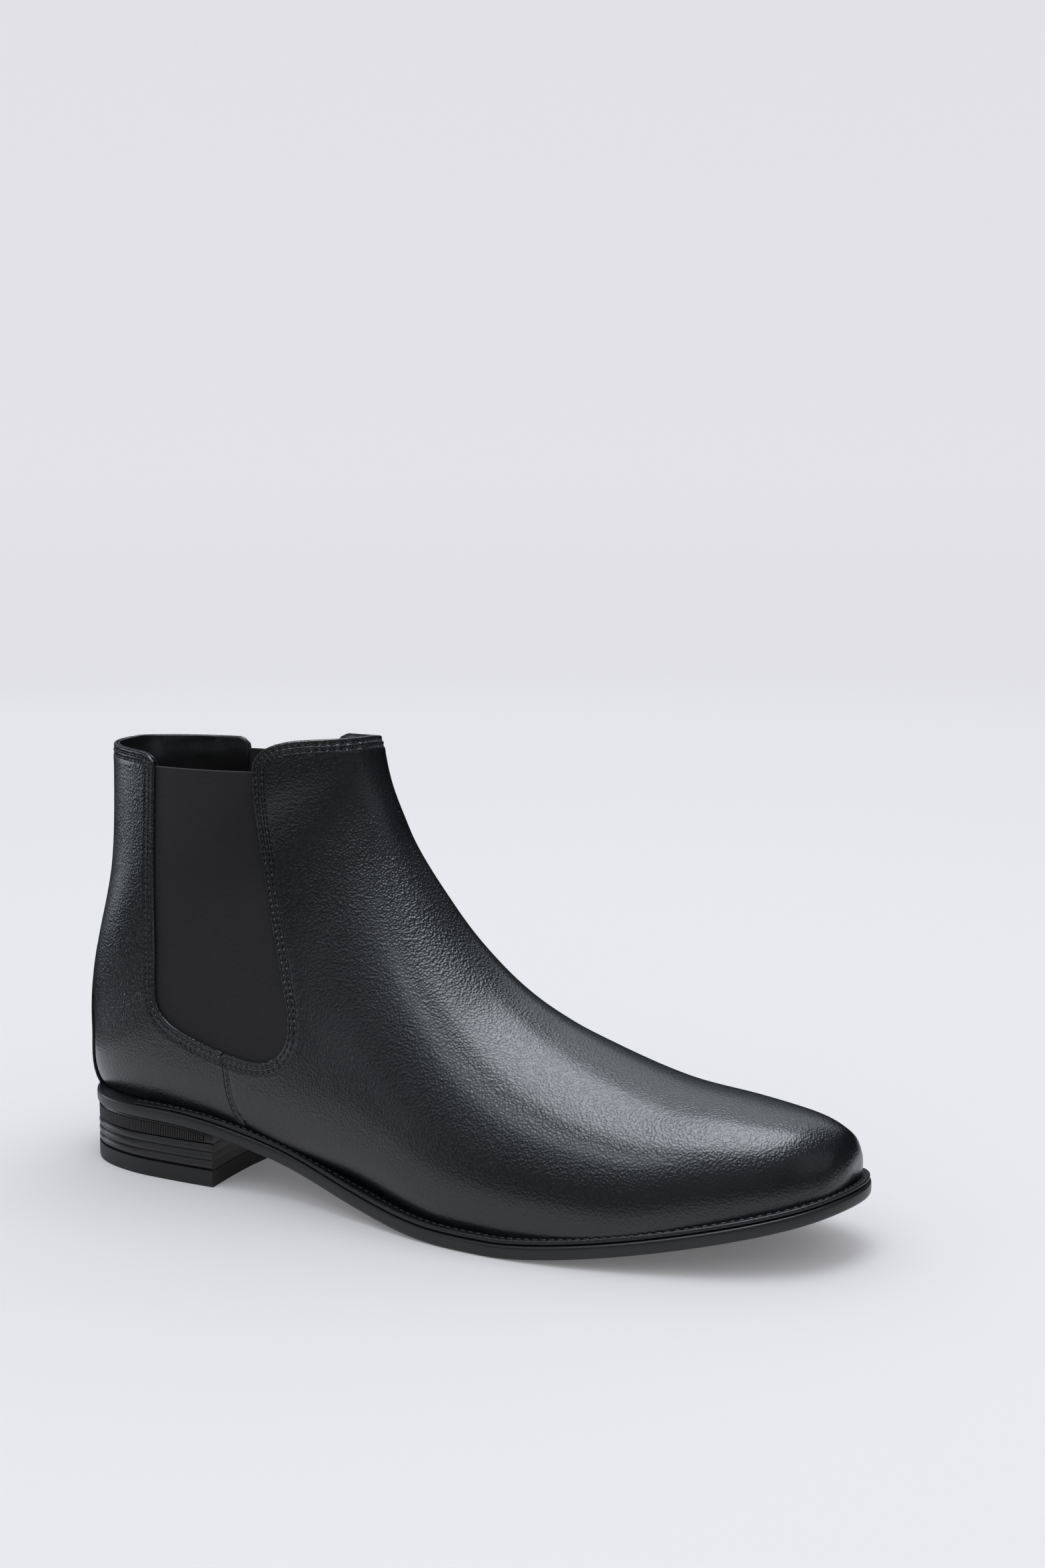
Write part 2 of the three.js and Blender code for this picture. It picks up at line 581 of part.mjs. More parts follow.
function addHeel() {
  const inset = 0.5;
  const seatUnder = (x) => featherHeight(x) - SOLE_THICKNESS - GAP;
  const randLine = [
    [-20, seatUnder(0) - RAND_BACK],
    [HEEL_LENGTH + 10, seatUnder(HEEL_LENGTH) - RAND_BREAST],
  ];
  const rand = planPrism(heelPlan(inset), 0, SEAT_HEIGHT)
    .intersect(soleSlab(-FAR, -SOLE_THICKNESS - GAP))
    .subtract(sidePrism([...randLine, [HEEL_LENGTH + 10, LOW], [-20, LOW]]));
  add("heel_rand", drilled(rand), "heel");

  const blockFoot = TOP_PIECE_HEIGHT + GAP;
  const blockTop = seatUnder(0);
  const steps = 15;
  const waveHeight = (randLine[0][1] - blockFoot) / 3;
  const levels = Array.from({ length: steps + 1 }, (_, i) => {
    const z = THREE.MathUtils.lerp(blockFoot, blockTop, i / steps);
    const wave = Math.abs(Math.sin((Math.PI * (z - blockFoot)) / waveHeight));
    return { z, outline: heelPlan(inset + 0.7 * (1 - wave)) };
  });
  const underRand = sidePrism([
    ...randLine.map(([x, z]) => [x, z - GAP]), [HEEL_LENGTH + 10, LOW], [-20, LOW],
  ]);
  add("heel_block", drilled(stacked(levels).intersect(underRand)), "heel");
  add("top_piece", planPrism(heelPlan(inset), 0, TOP_PIECE_HEIGHT), "rubber");
}

function addFasteners() {
  nails.forEach((spot, i) => {
    add(`heel_nail_${i + 1}`, pin(NAIL_RADIUS, HEAD.nail, spot, NAIL_FOOT), "steel");
  });
  rivets.forEach((spot, i) => {
    add(`shank_rivet_${i + 1}`, pin(RIVET_RADIUS, HEAD.rivet, spot, rivetFoot(spot[0])), "steel");
  });
}

addUpper();
addBackstay();
addGores();
addLining();
addBottom();
addHeel();
addFasteners();

const box = new THREE.Box3().setFromObject(boot);
boot.position.set(-(box.min.x + box.max.x) / 2, -(box.min.y + box.max.y) / 2, -box.min.z);

export default boot;
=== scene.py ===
"""Chelsea boot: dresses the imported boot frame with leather, elastic, lining, sole and heel.

The upper is cut from one foot shape. A point of that shape is named by t, which counts
cross-sections from the toe to the collar, and by an angle that runs from the bottom of the section
round the outer side. Shapes are worked out in millimetres on the last and moved to the frame in
metres when a mesh is made.
"""
import logging
import math
from dataclasses import dataclass, field
from enum import Enum
from typing import Any, Callable, Iterable, Optional, Sequence

import bmesh
import bpy
import numpy as np
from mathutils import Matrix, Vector


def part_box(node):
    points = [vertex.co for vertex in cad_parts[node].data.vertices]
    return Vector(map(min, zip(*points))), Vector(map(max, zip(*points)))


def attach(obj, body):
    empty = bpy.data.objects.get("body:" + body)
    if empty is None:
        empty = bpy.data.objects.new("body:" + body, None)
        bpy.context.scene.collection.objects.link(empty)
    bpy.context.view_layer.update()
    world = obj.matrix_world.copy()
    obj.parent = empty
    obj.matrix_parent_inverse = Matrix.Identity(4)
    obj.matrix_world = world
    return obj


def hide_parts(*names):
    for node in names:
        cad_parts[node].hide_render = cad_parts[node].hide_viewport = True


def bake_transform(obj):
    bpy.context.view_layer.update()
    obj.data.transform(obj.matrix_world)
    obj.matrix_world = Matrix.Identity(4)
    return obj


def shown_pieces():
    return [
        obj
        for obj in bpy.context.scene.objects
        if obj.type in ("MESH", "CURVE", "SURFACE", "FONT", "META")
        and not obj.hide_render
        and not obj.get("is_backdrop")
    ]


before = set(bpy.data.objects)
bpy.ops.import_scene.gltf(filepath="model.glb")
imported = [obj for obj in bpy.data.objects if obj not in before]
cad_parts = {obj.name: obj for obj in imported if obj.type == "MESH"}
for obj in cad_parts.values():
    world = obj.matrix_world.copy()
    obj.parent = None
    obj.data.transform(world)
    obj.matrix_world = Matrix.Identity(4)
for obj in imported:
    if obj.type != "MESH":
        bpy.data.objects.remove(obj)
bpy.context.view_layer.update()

log = logging.getLogger("chelsea_boot")
MM = 0.001
TINY = 1e-9
# Vertices within this of the sole's plane, in millimetres, belong to the lower edge.
NEAR = 0.02
# Points on each span of a curve that is drawn through knots.
PER_SPAN = 8
# Places well outside the boot, in millimetres, that close the zones of a side view.
FAR = 400.0
FAR_BELOW = 60.0
# A vertex this near to a cut, in millimetres, counts as on it.
ON_LEVEL = 1e-4
Array = np.ndarray


class Body(Enum):
    """The moving bodies of the frame."""

    REAR = "boot_rear"
    FOREFOOT = "forefoot"
    COLLAR = "rear_collar"


class Side(Enum):
    """Sides of the boot, with the range of angles that each covers."""

    OUTER = (0.0, math.pi)
    INNER = (math.pi, 2 * math.pi)


CAD_SIDES = {Side.OUTER: "lateral", Side.INNER: "medial"}


def smooth(low: float, high: float, value: Array) -> Array:
    """Smooth step from 0 at low to 1 at high."""
    s = np.clip((value - low) / (high - low), 0, 1)
    return s * s * (3 - 2 * s)


def through(rows: Array, t: Array, closed: bool = False) -> Array:
    """Uniform Catmull-Rom curve through rows of numbers.

    Args:
        rows: One row of numbers for each knot.
        t: Places on the curve, counted in knots.
        closed: Whether the last row joins the first.

    Returns:
        One row for each place.
    """
    n = len(rows)
    i = np.clip(np.floor(t).astype(int), 0, n - 1 if closed else n - 2)
    f = (t - i)[..., None]

    def at(k: Array) -> Array:
        """Rows at knots k, wrapped or held at the ends."""
        return rows[k % n] if closed else rows[np.clip(k, 0, n - 1)]

    a, b, c, d = at(i - 1), at(i), at(i + 1), at(i + 2)
    m0, m1, w = (c - a) / 2, (d - b) / 2, c - b
    return b + f * (m0 + f * (3 * w - 2 * m0 - m1 + f * (m0 + m1 - 2 * w)))


def curve_through(points: Sequence[Sequence[float]], per_span: int = PER_SPAN) -> Array:
    """Dense open polyline on the Catmull-Rom curve through a few points."""
    rows = np.array(points, float)
    return through(rows, np.linspace(0, len(rows) - 1, (len(rows) - 1) * per_span + 1))


def line_distance(points: Array, line: Array) -> Array:
    """Distance from each point to a polyline, both in the plane."""
    return nearest_on(points, line)[0]


def nearest_on(points: Array, line: Array) -> tuple[Array, Array]:
    """Distance from each point to a polyline, and how far along the line its foot lies.

    Args:
        points: Points of the plane, one row each.
        line: Points of the polyline in order.

    Returns:
        For each point its distance, and the length of the line up to the nearest place.
    """
    best, along = np.full(len(points), 1e9), np.zeros(len(points))
    done = 0.0
    for a, b in zip(line[:-1], line[1:]):
        d = b - a
        length = math.hypot(*d)
        s = np.clip(((points - a) @ d) / max(length * length, 1e-12), 0, 1)
        away = np.hypot(*(points - a - s[:, None] * d).T)
        along = np.where(away < best, done + s * length, along)
        best = np.minimum(best, away)
        done += length
    return best, along


def is_inside(points: Array, outline: Array) -> Array:
    """Whether each point of the plane lies inside a closed outline.

    Args:
        points: Points of the plane, one row each.
        outline: Corners of the outline in order; the last joins the first.

    Returns:
        True for each point inside.
    """
    inside = np.zeros(len(points), bool)
    x, z = points.T
    for a, b in zip(outline, np.roll(outline, -1, 0)):
        if a[1] == b[1]:
            continue
        crosses = (a[1] > z) != (b[1] > z)
        inside ^= crosses & (x < (b[0] - a[0]) * (z - a[1]) / (b[1] - a[1]) + a[0])
    return inside


@dataclass
class FootShape:
    """The last that the boot is built on, in millimetres.

    Each section joins a top point (top_x, top_up) on the instep or shin to a bottom point
    (low_x, low_up) on the sole or heel line. The other columns are the outer and inner half
    widths, the sideways middle, where it is widest, and the squareness of its two halves.
    """

    sections: Array = field(default_factory=lambda: np.array([
        [308.3, 6, 308.3, 6, 0, 0, 7.5, 0.5, 2.4, 2.0],
        [308.6, 10.5, 307.6, 0, 6.5, 6.5, 7.5, 0.5, 2.4, 2.0],
        [307, 15.5, 305.8, -6, 12.5, 12.5, 6.8, 0.48, 2.4, 2.0],
        [303.3, 20.5, 302, -10, 18.5, 18.5, 5.8, 0.45, 2.5, 2.1],
        [292, 27.5, 292, -12, 27, 27, 3.9, 0.42, 2.8, 2.2],
        [270, 36, 270, -14, 37, 36.5, 2, 0.36, 3, 2.2],
        [243, 45.2, 243, -15, 45.5, 44.5, 0.3, 0.34, 3, 2.0],
        [213, 59, 211, -11.5, 50.3, 47.5, 0, 0.33, 3, 1.85],
        [186, 73.5, 174, -9, 49.8, 44, -1, 0.32, 2.9, 1.8],
        [164, 90.5, 132, -7, 44.5, 36.5, -0.3, 0.36, 2.7, 1.9],
        [148.5, 106.5, 84, -12, 39, 34.5, 0, 0.38, 2.6, 2.0],
        [138, 119.5, 36, -14, 35.5, 33, 0, 0.4, 2.5, 2.1],
        [132, 130.5, 4, -3, 34, 33, 0, 0.42, 2.4, 2.1],
        [128.3, 138, -1, 20, 33, 32.5, 0, 0.43, 2.3, 2.1],
        [126, 144, 1, 48, 34, 32.5, 0, 0.44, 2.3, 2.1],
        [124, 151, 10.5, 88, 36, 31.5, 0, 0.46, 2.2, 2.1],
        [122, 158, 13, 135, 37, 29, 0, 0.48, 2.2, 2.1],
        [120.5, 170, 13.5, 160, 37, 28, 0, 0.48, 2.2, 2.1],
    ], float))
    seat: float = 27.0
    sole: float = 5.0
    spring: float = 20.0
    length: float = 312.0
    ball: float = 200.0
    cell: float = 2.1

    def feather(self, x: Array) -> Array:
        """Height of the top of the outsole at a distance x from the back of the heel.

        Args:
            x: Distances from the back of the heel.

        Returns:
            Heights above the floor.
        """
        ramp = smooth(45, 180, x)
        lift = np.maximum(0, (x - self.ball) / (self.length - self.ball)) ** 1.4
        return self.sole + (self.seat - self.sole) * (1 - ramp) + self.spring * lift

    def point(self, t: Array, angle: Array) -> Array:
        """Points of the foot shape at section places t and angles.

        Args:
            t: Section places.
            angle: Angles, of the same shape.

        Returns:
            Points, in a last axis of three.
        """
        row = np.moveaxis(through(self.sections, t), -1, 0)
        top_x, top_up, low_x, low_up, outer, inner, mid, wide, low, high = row
        turn = np.mod(angle, 2 * math.pi)
        is_outer = turn <= math.pi
        a = np.where(is_outer, turn, 2 * math.pi - turn)
        lower = a <= math.pi / 2
        power = 2 / np.where(lower, low, high)
        sine = np.abs(np.sin(a)) ** power
        cosine = np.abs(np.cos(a)) ** power
        rise = np.where(lower, wide * (1 - cosine), wide + (1 - wide) * cosine)
        x = low_x + (top_x - low_x) * rise
        low_z = self.feather(low_x) + low_up
        top_z = self.feather(top_x) + top_up
        y = mid + np.where(is_outer, -outer, inner) * sine
        return np.stack([x, y, low_z + (top_z - low_z) * rise], -1)

    def skin(self, t: Array, angle: Array, offset: Any) -> Array:
        """Points moved out along the surface normal by offset.

        Args:
            t: Section places.
            angle: Angles, of the same shape.
            offset: Distance outwards, one number or one for each point.

        Returns:
            Points, in a last axis of three.
        """
        step = 0.03
        last = len(self.sections) - 1
        back, ahead = np.maximum(t - step, 0), np.minimum(t + step, last)
        along = self.point(ahead, angle) - self.point(back, angle)
        around = self.point(t, angle + step) - self.point(t, angle - step)
        normal = np.cross(around, along)
        size = np.linalg.norm(normal, axis=-1, keepdims=True)
        normal = np.where(size > TINY, normal / np.maximum(size, TINY), [1.0, 0.0, 0.0])
        return self.point(t, angle) + normal * np.asarray(offset, float)[..., None]

    def places(self, start: float, end: float) -> Array:
        """Section places from start to end whose rings are about one cell apart.

        Args:
            start: First place.
            end: Last place.

        Returns:
            The places in order, both ends included.
        """
        found = [start]
        t = start
        while t < end - 1e-6:
            i = np.array([t, min(t + 0.05, end)])
            row = through(self.sections, i)
            step_top = math.hypot(row[1][0] - row[0][0], row[1][1] - row[0][1])
            step_low = math.hypot(row[1][2] - row[0][2], row[1][3] - row[0][3])
            speed = max(step_top, 0.75 * step_low) / (i[1] - i[0])
            t = min(end, t + min(0.25, self.cell / max(speed, 1.0)))
            found.append(t)
        return np.array(found)

    def locate(self, x: Array, z: Array, side: Side) -> tuple[Array, Array]:
        """Finds the surface place that a side view shows at (x, z).

        Args:
            x: Distances from the back of the heel.
            z: Heights above the floor.
            side: Which side of the boot is looked at.

        Returns:
            Section places and angles.
        """
        # Halving the range of places, a section's plane is found that holds each point.
        low_t, high_t = np.full(len(x), 0.9), np.full(len(x), 17.0)
        for _ in range(34):
            t = (low_t + high_t) / 2
            row = through(self.sections, t).T
            lx, lz = row[2], self.feather(row[2]) + row[3]
            tx, tz = row[0], self.feather(row[0]) + row[1]
            ahead = (tx - lx) * (z - lz) - (tz - lz) * (x - lx) > 0
            low_t, high_t = np.where(ahead, t, low_t), np.where(ahead, high_t, t)
        wide, low, high = row[7], row[8], row[9]
        span = (tx - lx) ** 2 + (tz - lz) ** 2
        rise = np.clip(((x - lx) * (tx - lx) + (z - lz) * (tz - lz)) / span, 0, 1)
        lower = rise <= wide
        below = np.clip(1 - rise / wide, 0, 1) ** (low / 2)
        above = np.clip((rise - wide) / (1 - wide), 0, 1) ** (high / 2)
        a = np.where(lower, np.arccos(below), math.pi / 2 + np.arcsin(above))
        return t, (a if side is Side.OUTER else 2 * math.pi - a)

    def contour(self, up: float, offset: float, count: int = 150) -> tuple[Array, Array]:
        """Outer and inner edge of the foot at a height above the outsole.

        Args:
            up: Height above the top of the outsole.
            offset: How far the skin is moved out.
            count: Number of places from the toe to the heel.

        Returns:
            Two rows of points, outer and inner, that start at the toe and have matching places.
        """
        # The edge is found from the toe to the back of the heel, past which t leaves the sole.
        scan = np.linspace(0.02, 13.5, 1350)
        low = self.skin(scan, np.full_like(scan, 0.02), offset)
        under = low[:, 2] < self.feather(low[:, 0]) + up
        reach = scan[under]
        t = reach[0] + (reach[-1] - reach[0]) * (1 - np.cos(np.linspace(0, math.pi, count))) / 2
        edges = []
        for sign in (1, -1):
            a0, a1 = np.full(count, 1e-3), np.full(count, 2.2)
            for _ in range(30):
                a = (a0 + a1) / 2
                p = self.skin(t, sign * a, offset)
                below = p[:, 2] < self.feather(p[:, 0]) + up
                a0, a1 = np.where(below, a, a0), np.where(below, a1, a)
            edges.append(p)
        return edges[0], edges[1]


@dataclass
class Outlines:
    """Side views of the cut edges and the plan of the sole, in millimetres on the last."""

    gore: Sequence[Sequence[float]] = (
        (49.5, 157), (47.8, 130), (46.4, 100), (45.6, 75), (47.5, 65.5), (54, 59.8),
        (66, 55.6), (78, 53), (90, 51.6), (98, 52.4), (104.5, 56.2), (107.4, 62.5),
        (106.6, 71), (102.5, 84), (97, 102), (92.6, 120), (90.8, 138), (91, 157),
    )
    seam_start: int = 7
    seam: Sequence[Sequence[float]] = ((78, 53), (79, 40), (81, 30), (84.5, 18), (86, -30))
    front_ear: Sequence[Sequence[float]] = (
        (91, 157), (91.4, 160.5), (92.8, 163.2), (95.6, 165.8), (100.8, 168), (110, 169.3),
        (135, 169.5), (FAR, 169.5),
    )
    rear_ear: Sequence[Sequence[float]] = (
        (-FAR, 163), (20, 162.8), (40, 162.4), (45.6, 161.6), (48.8, 159.6), (49.4, 157),
    )
    sole: Sequence[Sequence[float]] = (
        (0, 0), (4, -15), (15, -27), (33, -33.5), (54, -35), (75, -35), (106, -35.5),
        (137, -42.5), (167, -50), (192, -53), (215, -52), (238, -48), (261, -41.5),
        (283, -32.5), (299, -21.5), (308, -8), (312, 8), (308.5, 22), (300, 31), (283, 38),
        (261, 44), (238, 48.5), (215, 49.5), (192, 46), (167, 39), (137, 32.5), (106, 30),
        (75, 31.5), (54, 32.5), (33, 31.5), (15, 25.5), (4, 14),
    )

    def gore_line(self) -> Array:
        """The gore's opening as one dense line, from its top rear down and round."""
        return curve_through(self.gore)

    def plan(self, inset: float = 0.0, per_point: int = 8) -> Array:
        """Outline of the sole moved in by inset; it runs from the heel along the outer side.

        Args:
            inset: Distance inwards.
            per_point: Points on each span between knots.

        Returns:
            Points of the closed outline, without the first one repeated.
        """
        rows = np.array(self.sole, float)
        p = through(rows, np.arange(len(rows) * per_point) / per_point, True)
        tangent = np.roll(p, -1, 0) - np.roll(p, 1, 0)
        tangent /= np.linalg.norm(tangent, axis=1, keepdims=True)
        return p + np.stack([-tangent[:, 1], tangent[:, 0]], 1) * inset


FOOT = FootShape()
CUTS = Outlines()


def frame_shift() -> Array:
    """How far the last moves, in millimetres, to bring its sole onto the frame's."""
    reach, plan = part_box("outsole_toe")[1], CUTS.plan(per_point=2)
    return np.array([reach.x / MM - plan[:, 0].max(), reach.y / MM - plan[:, 1].max(), 0.0])


SHIFT = frame_shift()


def place(x: float, y: float, z: float) -> tuple[float, float, float]:
    """A point of the last as a point of the frame, in metres."""
    p = (np.array([x, y, z]) + SHIFT) * MM
    return float(p[0]), float(p[1]), float(p[2])


def linear(hex_colour: str) -> tuple[float, float, float, float]:
    """An sRGB hex colour as linear red, green, blue and alpha.

    Args:
        hex_colour: Six hex digits after a hash.

    Returns:
        Linear red, green, blue and an alpha of 1.
    """
    parts = [int(hex_colour[i:i + 2], 16) / 255 for i in (1, 3, 5)]
    r, g, b = (c / 12.92 if c <= 0.04045 else ((c + 0.055) / 1.055) ** 2.4 for c in parts)
    return r, g, b, 1.0


def bell(distance: Array, width: float) -> Array:
    """Bell curve that is 1 at distance 0 and falls off over width."""
    return np.exp(-(distance / width) ** 2)


def grid_faces(rows: int, wide: int) -> list[list[int]]:
    """Quads of a grid of points that is numbered row by row."""
    return [[i * wide + k, i * wide + k + 1, (i + 1) * wide + k + 1, (i + 1) * wide + k]
            for i in range(rows - 1) for k in range(wide - 1)]


def put(name: str, data: bpy.types.ID) -> bpy.types.Object:
    """Makes an object for some data and links it to the scene.

    Args:
        name: The object's name.
        data: Its mesh, lamp or camera.

    Returns:
        The new object.
    """
    made = bpy.data.objects.new(name, data)
    bpy.context.scene.collection.objects.link(made)
    return made


@dataclass(frozen=True)
class Motion:
    """Where pieces would start and end to follow the joints, in millimetres on the last; the
    methods only bake each piece's transform.
    """

    crease: tuple[float, float] = (185.0, 240.0)
    crease_up: float = 12.0
    lean: tuple[float, float] = (62.0, 88.0)
    gore: tuple[float, float] = (92.0, 48.0)
    gore_up: float = 100.0

    def bend(self, piece: bpy.types.Object) -> None:
        """Bakes a piece's transform; the crease's ends are worked out but nothing bends the piece.

        Args:
            piece: A piece that crosses the ball line.
        """
        place(self.crease[0], 0, self.crease_up)
        place(self.crease[1], 0, self.crease_up)
        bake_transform(piece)

    def tilt(self, piece: bpy.types.Object) -> None:
        """Bakes a piece's transform; the lean's heights are worked out but nothing tilts the piece.
        """
        place(0, 0, self.lean[0])
        place(0, 0, self.lean[1])
        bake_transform(piece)

    def stretch(self, piece: bpy.types.Object) -> None:
        """Bakes an elastic panel's transform; the gore's ends are worked out but nothing stretches
        it.

        Args:
            piece: An elastic panel.
        """
        place(self.gore[0], 0, self.gore_up)
        place(self.gore[1], 0, self.gore_up)
        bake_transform(piece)


MOTION = Motion()


def add_node(tree: bpy.types.NodeTree, kind: str, settings: Optional[dict[str, Any]] = None,
             links: Optional[dict[Any, Any]] = None) -> bpy.types.Node:
    """Adds one node with its settings and the links into it.

    Args:
        tree: The tree that gets the node.
        kind: Blender's type name of the node.
        settings: Attributes of the node, and values of its inputs by socket name or number.
        links: Output sockets to link, by the input's name or number.

    Returns:
        The new node.
    """
    made = tree.nodes.new(kind)
    for key, value in (settings or {}).items():
        if isinstance(key, int) or key in made.inputs:
            made.inputs[key].default_value = value
        else:
            setattr(made, key, value)
    for key, output in (links or {}).items():
        tree.links.new(output, made.inputs[key])
    return made


@dataclass(frozen=True)
class Finish:
    """A grained or plain dielectric finish that reads Object coordinates."""

    name: str
    dark: str
    light: str
    roughness: float
    grain_mm: float = 1.0
    grain_depth_mm: float = 0.05
    fine_mm: float = 0.25
    fine_share: float = 0.3
    mottle_mm: float = 25.0
    roughness_swing: float = 0.05
    stretch: tuple[float, float, float] = (1.0, 1.0, 1.0)
    coat: float = 0.0
    coat_roughness: float = 0.3
    sheen: float = 0.0
    metallic: float = 0.0
    specular: float = 0.5
    grain_attribute: str = ""
    stitch_pitch_mm: float = 0.0
    stitch_rows_mm: tuple[float, float] = (1.75, 3.75)
    stitch_depth_mm: float = 0.75
    # A stitch draws the leather in fully within the first distance, and not past the second.
    stitch_reach_mm: tuple[float, float] = (0.1, 0.75)

    def material(self) -> bpy.types.Material:
        """Builds the material, or returns it if it is there already.

        Returns:
            The material, made once for each finish.
        """
        known = bpy.data.materials.get(self.name)
        if known:
            return known
        made = bpy.data.materials.new(self.name)
        made.use_nodes = True
        tree = made.node_tree
        tree.nodes.clear()
        where = add_node(tree, "ShaderNodeTexCoord").outputs["Object"]
        where = add_node(tree, "ShaderNodeMapping", {"Scale": self.stretch},
                         {"Vector": where}).outputs["Vector"]
        mottle = add_node(tree, "ShaderNodeTexNoise",
                          {"Scale": 1 / (self.mottle_mm * MM), "Detail": 3.0}, {"Vector": where})
        colour = add_node(tree, "ShaderNodeMix", {"data_type": "RGBA"},
                          {"Factor": mottle.outputs["Fac"]})
        colour.inputs[6].default_value = linear(self.dark)
        colour.inputs[7].default_value = linear(self.light)
        pebble = add_node(tree, "ShaderNodeTexVoronoi",
                          {"Scale": 1 / (self.grain_mm * MM), "feature": "SMOOTH_F1",
                           "Smoothness": 0.6}, {"Vector": where})
        fine = add_node(tree, "ShaderNodeTexNoise",
                        {"Scale": 1 / (self.fine_mm * MM), "Detail": 2.0}, {"Vector": where})
        height = add_node(tree, "ShaderNodeMix", {"data_type": "FLOAT", 0: self.fine_share},
                          {2: pebble.outputs["Distance"], 3: fine.outputs["Fac"]}).outputs[0]
        height = add_node(tree, "ShaderNodeMath",
                          {"operation": "MULTIPLY", 1: self.grain_depth_mm},
                          {0: height}).outputs[0]
        if self.grain_attribute:
            share = add_node(tree, "ShaderNodeAttribute", {"attribute_name": self.grain_attribute})
            height = add_node(tree, "ShaderNodeMath", {"operation": "MULTIPLY"},
                              {0: height, 1: share.outputs["Fac"]}).outputs[0]
        if self.stitch_pitch_mm:
            height = add_node(tree, "ShaderNodeMath", {"operation": "SUBTRACT"},
                              {0: height, 1: self.dimples(tree)}).outputs[0]
        rough = add_node(tree, "ShaderNodeMapRange",
                         {"To Min": self.roughness - self.roughness_swing,
                          "To Max": self.roughness + self.roughness_swing},
                         {"Value": fine.outputs["Fac"]})
        bump = add_node(tree, "ShaderNodeBump",
                        {"Strength": 1.0, "Distance": MM},
                        {"Height": height})
        shader = add_node(tree, "ShaderNodeBsdfPrincipled",
                          {"Metallic": self.metallic, "Coat Weight": self.coat,
                           "Coat Roughness": self.coat_roughness, "Sheen Weight": self.sheen,
                           "Specular IOR Level": self.specular},
                          {"Base Color": colour.outputs[2], "Roughness": rough.outputs[0],
                           "Normal": bump.outputs[0]})
        add_node(tree, "ShaderNodeOutputMaterial", links={"Surface": shader.outputs[0]})
        return made

    def dimples(self, tree: bpy.types.NodeTree) -> bpy.types.NodeSocket:
        """Depth, in millimetres, to which the stitches of two rows draw the leather in.

        Args:
            tree: The material's tree.

        Returns:
            The socket that carries the depth.
        """

        def math_node(kind: str, first: Any, second: Any = 0.0) -> bpy.types.NodeSocket:
            """One arithmetic node on sockets or numbers.

            Args:
                kind: The operation.
                first: Its first number or socket.
                second: Its second number or socket.

            Returns:
                The node's output.
            """
            values = {i: v for i, v in enumerate((first, second)) if isinstance(v, float)}
            links = {i: v for i, v in enumerate((first, second)) if not isinstance(v, float)}
            return add_node(tree, "ShaderNodeMath", {"operation": kind, **values}, links).outputs[0]

        edge = add_node(tree, "ShaderNodeAttribute", {"attribute_name": "edge"}).outputs["Fac"]
        along = add_node(tree, "ShaderNodeAttribute", {"attribute_name": "along"}).outputs["Fac"]
        near, far = self.stitch_rows_mm
        from_middle = math_node("ABSOLUTE", math_node("SUBTRACT", edge, (near + far) / 2 * MM))
        from_row = math_node("ABSOLUTE", math_node("SUBTRACT", from_middle, (far - near) / 2 * MM))
        width = add_node(tree, "ShaderNodeMapRange",
                         {"interpolation_type": "SMOOTHSTEP",
                          "From Min": self.stitch_reach_mm[1] * MM,
                          "From Max": self.stitch_reach_mm[0] * MM}, {"Value": from_row}).outputs[0]
        turns = math_node("MULTIPLY", along, 2 * math.pi / (self.stitch_pitch_mm * MM))
        wave = math_node("MULTIPLY_ADD", math_node("COSINE", turns), 0.5)
        wave.node.inputs[2].default_value = 0.5
        return math_node("MULTIPLY", math_node("MULTIPLY", wave, width), self.stitch_depth_mm)


